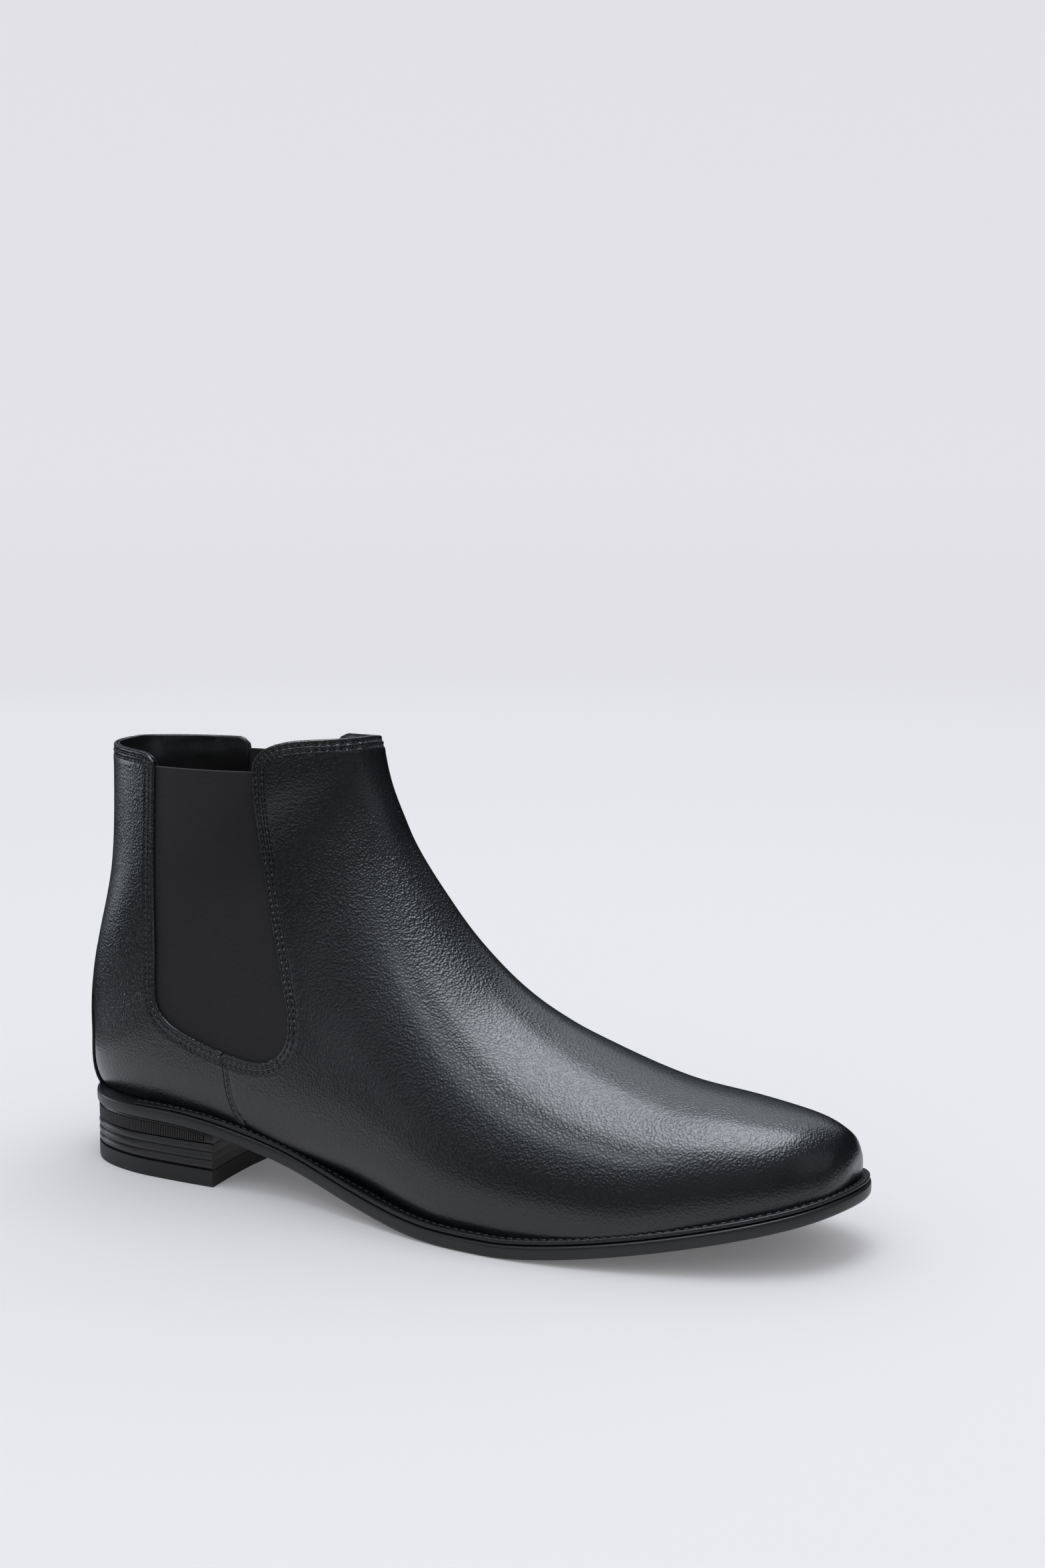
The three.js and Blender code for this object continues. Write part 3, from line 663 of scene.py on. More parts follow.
class Finishes(Enum):
    """Every finish of the boot, named for the real material."""

    # Corrected-grain side leather, coated and plated: a soft satin shine over small pebbles.
    LEATHER = Finish("black_coated_leather", "#050608", "#090a0c", 0.32, 0.85, 0.33, 0.35, 0.25,
                     coat=0.3, coat_roughness=0.22, grain_attribute="grain",
                     stitch_pitch_mm=2.3)
    # The same leather, skived, on the strip over the heel seam.
    STAY = Finish("skived_strip_leather", "#050608", "#090a0c", 0.32, 0.85, 0.33, 0.35, 0.25,
                  coat=0.3, coat_roughness=0.22, grain_attribute="grain")
    # Bonded polyester sewing thread, waxed.
    THREAD = Finish("bonded_polyester_thread", "#0b0c0e", "#17191c", 0.45, 0.3, 0.05, 0.12, 0.5)
    # Rubber cores wrapped in polyester yarn: dull, with a slight fuzz.
    ELASTIC = Finish("elastic_webbing", "#070708", "#0d0d10", 0.86, 0.55, 0.10, 0.22, 0.5,
                     stretch=(1.0, 1.0, 0.55), sheen=0.04, specular=0.2)
    # Coated tricot lining: smooth and fairly shiny, with soft wrinkles.
    LINING = Finish("coated_tricot_lining", "#040405", "#09090a", 0.33, 9.0, 0.9, 0.9, 0.08,
                    mottle_mm=12)
    # Leatherette over foam, with a light grain.
    SOCK = Finish("padded_sock_leatherette", "#0c0c0e", "#151518", 0.5, 1.3, 0.08, 0.4, 0.3)
    # Moulded rand with a coarse matte skin.
    WELT = Finish("moulded_rubber_welt", "#040405", "#090a0b", 0.45, 1.4, 0.2, 0.45, 0.5)
    # Injected thermoplastic rubber, buffed at the edge.
    OUTSOLE = Finish("thermoplastic_rubber_sole", "#08090a", "#0d0e10", 0.38, 1.6, 0.04, 0.5, 0.5)
    # The same rubber, stained reddish brown on the tread side.
    UNDERSIDE = Finish("stained_sole_underside", "#33201a", "#4a2e22", 0.55, 1.8, 0.05, 0.6, 0.5)
    # Fibre layers pressed together and coated with black lacquer.
    HEEL = Finish("stacked_heel_lacquer", "#060505", "#0c0a0a", 0.34, 2.2, 0.03, 0.5, 0.5,
                  stretch=(1.0, 1.0, 6.0))
    # Hard-wearing rubber, matte.
    TOP_PIECE = Finish("heel_top_rubber", "#070708", "#0b0b0c", 0.6, 0.8, 0.06, 0.3, 0.5)
    # Pressed cellulose fibre.
    BOARD = Finish("cellulose_insole_board", "#7a6247", "#957a58", 0.9, 0.9, 0.05, 0.3, 0.5)
    # Ground cork in binder.
    FILLER = Finish("cork_filler", "#8a643c", "#b98d5c", 0.95, 1.6, 0.15, 0.5, 0.3, mottle_mm=2)
    # Thermoplastic sheet with a fabric skin, uncoloured.
    STIFFENER = Finish("thermoplastic_stiffener", "#b5ae9f", "#cbc4b5", 0.8, 0.8, 0.03, 0.3, 0.5)
    # Bright tempered steel.
    STEEL = Finish("spring_steel", "#8c8c8e", "#a5a5a8", 0.34, 0.8, 0.01, 0.2, 0.6, metallic=1.0)


def new_mesh(name: str, points: Array, edges: Iterable[Sequence[int]],
             faces: Iterable[Sequence[int]], attributes: Optional[dict[str, Array]],
             ) -> bpy.types.Mesh:
    """A mesh in the frame's metres, with its numbers for each point.

    Args:
        name: The mesh's name.
        points: Points in millimetres on the last.
        edges: Its loose edges.
        faces: Vertex numbers of each face.
        attributes: Named numbers for each point.

    Returns:
        The new mesh.
    """
    mesh = bpy.data.meshes.new(name)
    mesh.from_pydata(((points + SHIFT) * MM).tolist(), list(edges), [list(f) for f in faces])
    for key, values in (attributes or {}).items():
        layer = mesh.attributes.new(key, "FLOAT", "POINT")
        layer.data.foreach_set("value", np.asarray(values, np.float32))
    return mesh


def mesh_object(name: str, points: Array, faces: Iterable[Sequence[int]], finish: Finishes,
                attributes: Optional[dict[str, Array]] = None,
                sharp_deg: float = 180.0) -> bpy.types.Object:
    """Makes a closed piece from points in millimetres on the last.

    Args:
        name: The piece's name.
        points: One row for each vertex.
        faces: Vertex numbers of each face.
        finish: Its finish.
        attributes: Numbers for each vertex that its material reads.
        sharp_deg: Edges that turn more than this stay sharp.

    Returns:
        The new object, at the origin, with its normals outwards.
    """
    made = put(name, new_mesh(name, points, [], faces, attributes))
    tidy(made, sharp_deg)
    made.data.materials.append(finish.value.material())
    return made


def tidy(piece: bpy.types.Object, sharp_deg: float = 180.0) -> None:
    """Merges doubles, turns every face outwards and smooths all but the sharp edges.

    Args:
        piece: The piece to tidy.
        sharp_deg: Edges that turn more than this stay sharp.
    """
    work = bmesh.new()
    work.from_mesh(piece.data)
    bmesh.ops.remove_doubles(work, verts=work.verts, dist=2e-6)
    bmesh.ops.dissolve_degenerate(work, dist=1e-7, edges=work.edges)
    bmesh.ops.recalc_face_normals(work, faces=work.faces)
    limit = math.radians(sharp_deg)
    for face in work.faces:
        face.smooth = True
    for edge in work.edges:
        edge.smooth = not (edge.is_manifold and edge.calc_face_angle(0) > limit)
    work.to_mesh(piece.data)
    work.free()


@dataclass
class Sheet:
    """A cut piece of the foot's skin: section places, angles and any other numbers per vertex."""

    values: Array
    faces: list[list[int]]
    rows: dict[str, list[tuple[int, int]]] = field(default_factory=dict)

    T = 0
    ANGLE = 1
    RIM = 2
    SEAM = 3
    EDGE = 4
    FLOOR = 5
    RUN = 6
    COLUMNS = 7

    @classmethod
    def blank(cls, start: float, end: float, angles: tuple[float, float], columns: int) -> "Sheet":
        """An uncut sheet between two section places and two angles.

        Args:
            start: First section place.
            end: Last section place.
            angles: First and last angle.
            columns: Faces between them.

        Returns:
            The sheet, with only places and angles filled in.
        """
        t = FOOT.places(start, end)
        a = np.linspace(angles[0], angles[1], columns + 1)
        grid_t, grid_a = np.meshgrid(t, a, indexing="ij")
        values = np.zeros((grid_t.size, cls.COLUMNS))
        values[:, cls.T], values[:, cls.ANGLE] = grid_t.ravel(), grid_a.ravel()
        return cls(values, grid_faces(len(t), columns + 1))

    def base(self) -> Array:
        """Points of the bare foot shape under each vertex."""
        return FOOT.point(self.values[:, self.T], self.values[:, self.ANGLE])

    def split(self, column: int, level: float, keep: bool = False, row: str = "") -> None:
        """Cuts the faces along a level of one of the numbers.

        Args:
            column: Which number.
            level: The level to cut along.
            keep: Whether to drop what lies below the level.
            row: A name under which to remember the cut's edges.
        """
        v = (self.values[:, column] - level).copy()
        v[np.abs(v) < ON_LEVEL] = 0
        v = v.tolist()
        fresh: dict[tuple[int, int], int] = {}
        rows: list[Array] = []
        count = len(self.values)
        faces: list[list[int]] = []
        marks = self.rows.setdefault(row, []) if row else []
        for face in self.faces:
            heights = [v[i] for i in face]
            if min(heights) >= 0:
                faces.append(face)
                continue
            if max(heights) <= 0:
                if not keep:
                    faces.append(face)
                continue
            above: list[int] = []
            below: list[int] = []
            both: list[int] = []
            for i, j in zip(face, face[1:] + face[:1]):
                if v[i] >= 0:
                    above.append(i)
                if v[i] <= 0:
                    below.append(i)
                if v[i] == 0:
                    both.append(i)
                if v[i] * v[j] < 0:
                    key = (min(i, j), max(i, j))
                    if key not in fresh:
                        share = v[key[0]] / (v[key[0]] - v[key[1]])
                        rows.append(self.values[key[0]] * (1 - share) + self.values[key[1]] * share)
                        fresh[key] = count + len(rows) - 1
                    above.append(fresh[key])
                    below.append(fresh[key])
                    both.append(fresh[key])
            faces.append(above)
            if not keep:
                faces.append(below)
            if row and len(both) == 2:
                marks.append((both[0], both[1]))
        if rows:
            self.values = np.vstack([self.values, np.array(rows)])
        self.faces = [f for f in faces if len(f) > 2]

    def drop(self, unwanted: Array) -> None:
        """Removes the faces whose vertices are all marked."""
        self.faces = [f for f in self.faces if not all(unwanted[i] for i in f)]

    def compact(self) -> "Sheet":
        """The same sheet without unused vertices; remembered rows are dropped.

        Returns:
            The smaller sheet.
        """
        used = np.unique(np.concatenate([np.array(f) for f in self.faces]))
        renumber = np.full(len(self.values), -1)
        renumber[used] = np.arange(len(used))
        return Sheet(self.values[used], [[int(renumber[i]) for i in f] for f in self.faces])


def walled(sheet: Sheet, outer: Array, inner: Array, bulge: Array, rings: int = 6,
           ) -> tuple[Array, list[list[int]], Array]:
    """Closes a sheet into a solid with rounded edges.

    Args:
        sheet: The cut sheet.
        outer: Offset of its outer face at each vertex.
        inner: Offset of its inner face at each vertex.
        bulge: How far its edge stands out past the cut at each vertex.
        rings: Faces across the rounded edge.

    Returns:
        Points, faces, and for each point the sheet's vertex it came from.
    """
    t, a = sheet.values[:, Sheet.T], sheet.values[:, Sheet.ANGLE]
    top, bottom = FOOT.skin(t, a, outer), FOOT.skin(t, a, inner)
    count = len(t)
    points = [top, bottom]
    source = [np.arange(count), np.arange(count)]
    faces = [list(f) for f in sheet.faces] + [[i + count for i in reversed(f)] for f in sheet.faces]
    halves = {(i, j) for f in sheet.faces for i, j in zip(f, f[1:] + f[:1])}
    edges = [(i, j) for i, j in halves if (j, i) not in halves]
    edges.sort()
    rim = sorted({i for e in edges for i in e})
    number = {v: k for k, v in enumerate(rim)}
    away = np.zeros((len(rim), 3))
    for i, j in edges:
        along = top[j] - top[i]
        length = np.linalg.norm(along)
        if length < 1e-6:
            continue
        out = np.cross(along / length, top[i] - bottom[i])
        away[number[i]] += out
        away[number[j]] += out
    away /= np.maximum(np.linalg.norm(away, axis=1, keepdims=True), TINY)
    # The sheet's faces may wind either way; outwards is away from the middle of a face.
    i, j = edges[0]
    face = next(f for f in sheet.faces if i in f and j in f)
    if (top[face].mean(0) - top[i]) @ away[number[i]] > 0:
        away = -away
    index = np.array(rim)
    mid, half = (top[index] + bottom[index]) / 2, (top[index] - bottom[index]) / 2
    start = 2 * count
    for ring in range(1, rings):
        angle = math.pi * ring / rings
        points.append(mid + half * math.cos(angle)
                      + away * (bulge[index] * math.sin(angle))[:, None])
        source.append(index)

    def at(ring: int, vertex: int) -> int:
        """Number of the point at a ring of the edge.

        Args:
            ring: The ring, from 0 at the outer face.
            vertex: The sheet's vertex.

        Returns:
            The point's number in the solid.
        """
        if ring == 0:
            return vertex
        if ring == rings:
            return vertex + count
        return start + (ring - 1) * len(rim) + number[vertex]

    for i, j in edges:
        for ring in range(rings):
            faces.append([at(ring, j), at(ring, i), at(ring + 1, i), at(ring + 1, j)])
    return np.vstack(points), faces, np.concatenate(source)


def chains(pairs: Sequence[tuple[int, int]]) -> list[list[int]]:
    """Joins edges into open or closed runs of vertices.

    Args:
        pairs: Vertex numbers at the ends of each edge.

    Returns:
        Vertex numbers of each run; short scraps are left out.
    """
    near: dict[int, list[int]] = {}
    for i, j in pairs:
        near.setdefault(i, []).append(j)
        near.setdefault(j, []).append(i)
    left = {tuple(sorted(p)) for p in pairs}
    runs = []
    for start in sorted(near, key=lambda i: (len(near[i]) != 1, i)):
        while True:
            step = next((j for j in near[start] if tuple(sorted((start, j))) in left), None)
            if step is None:
                break
            run = [start]
            here = start
            while step is not None:
                left.discard(tuple(sorted((here, step))))
                run.append(step)
                here = step
                step = next((j for j in near[here] if tuple(sorted((here, j))) in left), None)
            runs.append(run)
    return [r for r in runs if len(r) > 4]


def node_group(name: str, inputs: dict[str, str]) -> bpy.types.NodeTree:
    """Starts a Geometry Nodes tree with named inputs and one geometry output.

    Args:
        name: The tree's name.
        inputs: Socket type of each input by its label.

    Returns:
        The new tree.
    """
    tree = bpy.data.node_groups.new(name, "GeometryNodeTree")
    tree.interface.new_socket("Geometry", in_out="INPUT", socket_type="NodeSocketGeometry")
    for label, kind in inputs.items():
        tree.interface.new_socket(label, in_out="INPUT", socket_type=kind)
    tree.interface.new_socket("Geometry", in_out="OUTPUT", socket_type="NodeSocketGeometry")
    return tree


def end_tree(tree: bpy.types.NodeTree, shape: bpy.types.NodeSocket,
             material: bpy.types.NodeSocket, soft: bool = True) -> None:
    """Makes a tree's instances real, shades and dresses them, and ends the tree.

    Args:
        tree: The tree.
        shape: The geometry socket it ends with.
        material: The socket that carries its material.
        soft: Whether its faces are shaded smooth.
    """
    real = add_node(tree, "GeometryNodeRealizeInstances", links={0: shape})
    if soft:
        real = add_node(tree, "GeometryNodeSetShadeSmooth", links={0: real.outputs[0]})
    dressed = add_node(tree, "GeometryNodeSetMaterial",
                       links={"Geometry": real.outputs[0], "Material": material})
    add_node(tree, "NodeGroupOutput", links={0: dressed.outputs[0]})


def grown(name: str, points: Array, edges: Sequence[tuple[int, int]], tree: bpy.types.NodeTree,
          values: dict[str, Any], attributes: Optional[dict[str, Array]] = None,
          faces: Sequence[Sequence[int]] = ()) -> bpy.types.Object:
    """Runs a Geometry Nodes tree on a guide and keeps the result as a plain mesh.

    Args:
        name: The piece's name.
        points: The guide's points, in millimetres on the last.
        edges: The guide's edges.
        tree: The tree.
        values: Values of its named inputs.
        attributes: Numbers for each point of the guide.
        faces: The guide's faces.

    Returns:
        The finished piece.
    """
    guide = put(name + "_guide", new_mesh(name + "_guide", points, edges, faces, attributes))
    modifier = guide.modifiers.new("grow", "NODES")
    modifier.node_group = tree
    sockets = {s.name: s.identifier for s in tree.interface.items_tree
               if s.item_type == "SOCKET" and s.in_out == "INPUT"}
    for label, value in values.items():
        modifier[sockets[label]] = value
    graph = bpy.context.evaluated_depsgraph_get()
    graph.update()
    solid = bpy.data.meshes.new_from_object(guide.evaluated_get(graph), depsgraph=graph)
    bpy.data.objects.remove(guide)
    solid.name = name
    return put(name, solid)


@dataclass
class Stitching:
    """Lockstitch rows: short rounded stitches laid end to end along a guide."""

    pitch: float = 2.3
    length: float = 1.75
    thickness: float = 0.52

    def tree(self) -> bpy.types.NodeTree:
        """The tree that lays stitches along the edges of its guide.

        Returns:
            The tree, made once.
        """
        known = bpy.data.node_groups.get("stitch_row")
        if known:
            return known
        tree = node_group("stitch_row", {
            "Pitch": "NodeSocketFloat", "Length": "NodeSocketFloat",
            "Thickness": "NodeSocketFloat", "Thread": "NodeSocketMaterial",
        })
        start = add_node(tree, "NodeGroupInput").outputs
        curve = add_node(tree, "GeometryNodeMeshToCurve", links={0: start["Geometry"]})
        spots = add_node(tree, "GeometryNodeCurveToPoints", {"mode": "LENGTH"},
                         {"Curve": curve.outputs[0], "Length": start["Pitch"]})
        turn = add_node(tree, "FunctionNodeAlignRotationToVector", {"axis": "X"},
                        {"Vector": spots.outputs["Tangent"]})
        ball = add_node(tree, "GeometryNodeMeshUVSphere",
                        {"Segments": 8, "Rings": 6, "Radius": 0.5})
        size = add_node(tree, "ShaderNodeCombineXYZ",
                        links={"X": start["Length"], "Y": start["Thickness"],
                               "Z": start["Thickness"]})
        laid = add_node(tree, "GeometryNodeInstanceOnPoints",
                        links={"Points": spots.outputs["Points"], "Instance": ball.outputs["Mesh"],
                               "Rotation": turn.outputs[0], "Scale": size.outputs[0]})
        end_tree(tree, laid.outputs[0], start["Thread"])
        return tree

    def sew(self, name: str, runs: Sequence[Array]) -> bpy.types.Object:
        """Sews along every run of points and returns the stitches as one piece.

        Args:
            name: The piece's name.
            runs: Points of each run, in millimetres on the last.

        Returns:
            The stitches.
        """
        points = np.vstack(runs)
        edges, start = [], 0
        for run in runs:
            edges += [(start + i, start + i + 1) for i in range(len(run) - 1)]
            start += len(run)
        return grown(name, points, edges, self.tree(), {
            "Pitch": self.pitch * MM, "Length": self.length * MM,
            "Thickness": self.thickness * MM, "Thread": Finishes.THREAD.value.material(),
        })


@dataclass(frozen=True)
class Backstay:
    """The strip over the heel seam: its reach on the last, outline and edge."""

    thickness: float = 1.2
    places: tuple[float, float] = (11.2, 15.6)
    reach: float = 0.9
    columns: int = 60
    below: float = 10.0
    top: float = 105.0
    half_foot: float = 16.0
    half_top: float = 9.5
    corner: float = 2.5
    corner_slope: float = 0.71
    edge: float = 0.6
    rings: tuple[float, ...] = (1.2, 2.3, 3.0)


@dataclass(frozen=True)
class Gore:
    """The elastic webbing's outline where it runs on under the leather."""

    lap: float = 7.0
    floor: float = 45.0
    # Rows within each rib, and points across.
    rib_rows: int = 4
    columns: int = 34
    # The opening's sides are followed down to these heights only.
    rear_low: float = 70.0
    front_low: float = 64.0
    # Places along the boot and the height under which the webbing is cut off there.
    cut_x: tuple[float, ...] = (28.0, 52.0, 75.0, 78.0)
    cut_z: tuple[float, ...] = (60.8, 47.8, 38.8, 0.0)
    edge: float = 0.3


@dataclass
class Upper:
    """The leather upper, its elastic gores and its lining."""

    stay: Backstay = field(default_factory=Backstay)
    gore: Gore = field(default_factory=Gore)
    leather: float = 1.4
    elastic: float = 1.1
    lining: float = 0.8
    gap: float = 0.3
    edge: float = 0.7
    rows: tuple[float, float] = (1.75, 3.75)
    seam_row: float = 1.05
    seam_groove: float = 2.15
    seam_edge: float = 0.3
    dip: float = 0.34
    rear_top: float = 163.0
    front_top: float = 169.5
    gore_top: float = 157.0
    front_fall: float = 0.14
    rear_fall: float = 0.05
    rib_pitch: float = 0.85
    rib_depth: float = 0.16
    # Half widths and heights of the leather's waves beside the stitches.
    dip_width: float = 0.42
    groove_width: float = 0.4
    groove_share: float = 1.1
    band_rise: float = 0.12
    band_width: float = 0.6
    swell_rise: float = 0.16
    swell_width: float = 0.5
    shoulder_at: float = 1.6
    shoulder_rise: float = 0.14
    shoulder_width: float = 0.9
    # The seam's waves and its stitches keep clear of the rim's rows by these distances.
    seam_clear: tuple[float, float] = (0.3, 1.3)
    seam_start: float = 0.8
    # Share of the grain where the leather is lasted, and the heights over which it grows.
    grain_lasted: float = 0.5
    grain_heights: tuple[float, float] = (8.0, 38.0)
    # How far each lining's edge stays under the leather's.
    front_lining_drop: float = 0.6
    rear_lining_drop: float = 0.4
    # Rings of vertices that follow those waves.
    rim_rings: tuple[float, ...] = (1.2, 2.3, 2.75, 3.25, 4.3, 5.0)
    seam_rings: tuple[float, ...] = (0.6, 1.6, 1.9, 2.15, 2.4, 2.75)
    # Section places where the quarters start and where the shaft is cut off.
    quarter_place: float = 9.4
    top_place: float = 17.0
    # Faces round the vamp, round a quarter and round a lining.
    columns: tuple[int, int, int] = (176, 88, 120)
    lining_edge: float = 0.4
    lining_round: float = 0.35
    lining_tuck: float = 0.12
    # The lining turns out to the leather between these depths under the collar's edge.
    lining_turn: tuple[float, float] = (9.0, 1.5)
    runs: dict[str, list[Array]] = field(default_factory=dict)

    def __post_init__(self) -> None:
        """Draws the side views of the front and rear zones."""
        opening = CUTS.gore_line()
        start = CUTS.seam_start * PER_SPAN
        self.seam = curve_through(CUTS.seam)
        front_ear = curve_through(CUTS.front_ear[:-1])
        rear_ear = curve_through(CUTS.rear_ear[1:])
        self.front_rim = np.vstack([opening[start:], front_ear[1:], [CUTS.front_ear[-1]]])
        self.rear_rim = np.vstack([[CUTS.rear_ear[0]], rear_ear, opening[:start + 1]])
        self.front_zone = np.vstack([self.seam[::-1], self.front_rim[1:], [[FAR, -FAR_BELOW]]])
        self.rear_zone = np.vstack([self.rear_rim, self.seam[1:], [[-FAR, -FAR_BELOW]]])

    def offsets(self, sheet: Sheet, depth: float, banded: bool = True) -> Array:
        """Offset of the leather's outer face: it dips along each stitch row.

        Args:
            sheet: The cut sheet.
            depth: How deep a stitch row is drawn in.
            banded: Whether a raised band runs beside the side seam.

        Returns:
            One offset for each vertex.
        """
        rim, seam = sheet.values[:, Sheet.RIM], sheet.values[:, Sheet.SEAM]
        total = np.zeros(len(rim))
        clear = smooth(self.rows[1] + self.seam_clear[0], self.rows[1] + self.seam_clear[1], rim)
        for row in self.rows:
            total -= depth * bell(rim - row, self.dip_width)
        if banded:
            groove = bell(seam - self.seam_groove, self.groove_width)
            total -= self.groove_share * depth * groove * clear
            total += self.band_rise * bell(seam - self.seam_row, self.band_width) * clear
        total += self.swell_rise * bell(rim - sum(self.rows) / 2, self.swell_width)
        total += self.shoulder_rise * bell(rim - self.rows[1] - self.shoulder_at,
                                           self.shoulder_width)
        return total

    def cut(self, sheet: Sheet, rim: Array, zone: Array, edge: float, rows: bool = True) -> Sheet:
        """Cuts a sheet to a zone and marks its stitch rows.

        Args:
            sheet: The uncut sheet.
            rim: The zone's open edges in side view.
            zone: The whole zone in side view.
            edge: How far inside the zone the flat part ends.
            rows: Whether to put in the rings that the stitches follow.

        Returns:
            The cut sheet.
        """
        p = sheet.base()
        side = p[:, [0, 2]]
        other = self.rear_zone if zone is self.front_zone else self.front_zone
        across = is_inside(side, other)
        leather = np.where(is_inside(side, zone) | across, 1.0, -1.0)
        near_rim, sheet.values[:, Sheet.RUN] = nearest_on(side, rim)
        near_seam = line_distance(side, self.seam)
        peak = rim[:, 1].max()
        fall = self.front_fall if peak > self.rear_top else self.rear_fall
        below = peak - fall * np.maximum(p[:, 1], 0) - p[:, 2]
        from_rim = np.minimum(near_rim * leather, below)
        from_seam = near_seam * np.where(across, -1.0, 1.0)
        sheet.values[:, Sheet.RIM] = from_rim
        sheet.values[:, Sheet.SEAM] = from_seam
        hem = (self.edge - self.seam_edge) if rows else 0.0
        sheet.values[:, Sheet.EDGE] = np.minimum(from_rim, from_seam + hem)
        sheet.values[:, Sheet.FLOOR] = p[:, 2] - FOOT.feather(p[:, 0])
        # Whole faces well past the cuts go first, so that fewer have to be cut.
        far = sheet.values[:, Sheet.EDGE] < -6
        sheet.drop(far | (sheet.values[:, Sheet.FLOOR] < -3))
        sheet.split(Sheet.FLOOR, self.gap, keep=True)
        sheet.split(Sheet.EDGE, edge, keep=True)
        if rows:
            for level in self.rim_rings:
                sheet.split(Sheet.RIM, level)
            for number, level in enumerate(self.rows):
                sheet.split(Sheet.RIM, level, row=f"rim{number}")
            sheet.split(Sheet.SEAM, self.seam_row, row="seam")
            for level in self.seam_rings:
                sheet.split(Sheet.SEAM, level)
        return sheet

    def remember(self, group: str, sheet: Sheet, offset: Array) -> None:
        """Keeps the stitch rows of a cut sheet as runs of points.

        Args:
            group: Which panels the rows belong to, front or rear.
            sheet: The cut sheet.
            offset: How far its outer face stands off the last.
        """
        for name, pairs in sheet.rows.items():
            for run in chains(pairs):
                values = sheet.values[run]
                if name == "seam":
                    values = values[values[:, Sheet.RIM] > self.rows[1] + self.seam_start]
                if len(values) < 5 or (name == "seam" and group != "front"):
                    continue
                near = Sheet(values, [])
                lift = self.offsets(near, self.dip, group == "front") + offset
                self.runs.setdefault(group, []).append(
                    FOOT.skin(values[:, 0], values[:, 1], lift))

    def panel(self, name: str, sheet: Sheet, finish: Finishes, lift: float, thick: float,
              depth: float) -> bpy.types.Object:
        """Closes a cut sheet into a leather panel.

        Args:
            name: The piece's name.
            sheet: The cut sheet.
            finish: Its finish.
            lift: Offset of its outer face from the last.
            thick: Thickness of the leather.
            depth: How deep a stitch row is drawn in.

        Returns:
            The panel.
        """
        flat = sheet.compact()
        outer = lift + self.offsets(flat, depth, name == "vamp")
        inner = np.full(len(outer), lift - thick)
        at_floor = flat.values[:, Sheet.FLOOR] < self.gap + NEAR
        at_seam = flat.values[:, Sheet.SEAM] < self.edge - 0.1
        bulge = np.where(at_floor, 0.0, np.where(at_seam, self.seam_edge - 0.06, self.edge))
        points, faces, source = walled(flat, outer, inner, bulge)
        base = flat.values[source]
        return mesh_object(name, points, faces, finish, {
            "edge": base[:, Sheet.RIM] * MM, "along": base[:, Sheet.RUN] * MM,
            "grain": self.grain(points)})

    def grain(self, points: Array) -> Array:
        """How strongly the grain shows: full on the shaft and instep, less where it is lasted."""
        up = points[:, 2] - FOOT.feather(points[:, 0])
        return self.grain_lasted + (1 - self.grain_lasted) * smooth(*self.grain_heights, up)

    def build_vamp(self) -> None:
        """The one-piece front: toe, instep and front of the shaft."""
        around = (0.0, 2 * math.pi)
        sheet = self.cut(Sheet.blank(0.0, self.top_place, around, self.columns[0]),
                         self.front_rim, self.front_zone, self.edge)
        self.remember("front", sheet, 0.0)
        vamp = self.panel("vamp", sheet, Finishes.LEATHER, 0.0, self.leather, self.dip)
        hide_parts("vamp_instep", "vamp_flex", "vamp_toe")
        MOTION.bend(vamp)
        lining = self.cut(Sheet.blank(0.0, self.top_place, around, self.columns[2]),
                          self.front_rim, self.front_zone, self.lining_edge, rows=False)
        MOTION.bend(self.lined("vamp_lining", lining, self.front_top - self.front_lining_drop,
                               ("lining_instep", "lining_flex", "lining_toe")))

    def lined(self, name: str, sheet: Sheet, top: float,
              stands_for: tuple[str, ...]) -> bpy.types.Object:
        """Closes a cut sheet into a lining that turns out to meet the leather at the top.

        Args:
            name: The piece's name.
            sheet: The cut sheet.
            top: Height at which the lining meets the leather.
            stands_for: The frame nodes that it replaces.

        Returns:
            The lining.
        """
        flat = sheet.compact()
        height = flat.base()[:, 2]
        deep = -(self.leather + self.gap + self.elastic + self.gap)
        high = -(self.leather + self.lining_tuck)
        turn = smooth(top - self.lining_turn[0], top - self.lining_turn[1], height)
        outer = deep + (high - deep) * turn
        points, faces, _ = walled(flat, outer, outer - self.lining,
                                  np.full(len(outer), self.lining_round), rings=4)
        made = mesh_object(name, points, faces, Finishes.LINING)
        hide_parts(*stands_for)
        return made

    def build_quarters(self) -> None:
        """The rear panels of both sides and the lining behind them."""
        start, end = self.quarter_place, self.top_place
        for side, cad in CAD_SIDES.items():
            sheet = self.cut(Sheet.blank(start, end, side.value, self.columns[1]),
                             self.rear_rim, self.rear_zone, self.edge)
            self.remember("rear", sheet, 0.0)
            name = f"quarter_{side.name.lower()}"
            quarter = self.panel(name, sheet, Finishes.LEATHER, 0.0, self.leather, self.dip)
            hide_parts(f"quarter_{cad}", f"collar_{cad}")
            MOTION.tilt(quarter)
        lining = self.cut(Sheet.blank(start, end, (-math.pi, math.pi), self.columns[2]),
                          self.rear_rim, self.rear_zone, self.lining_edge, rows=False)
        MOTION.tilt(self.lined("quarter_lining", lining, self.rear_top - self.rear_lining_drop,
                               ("lining_heel", "lining_collar")))

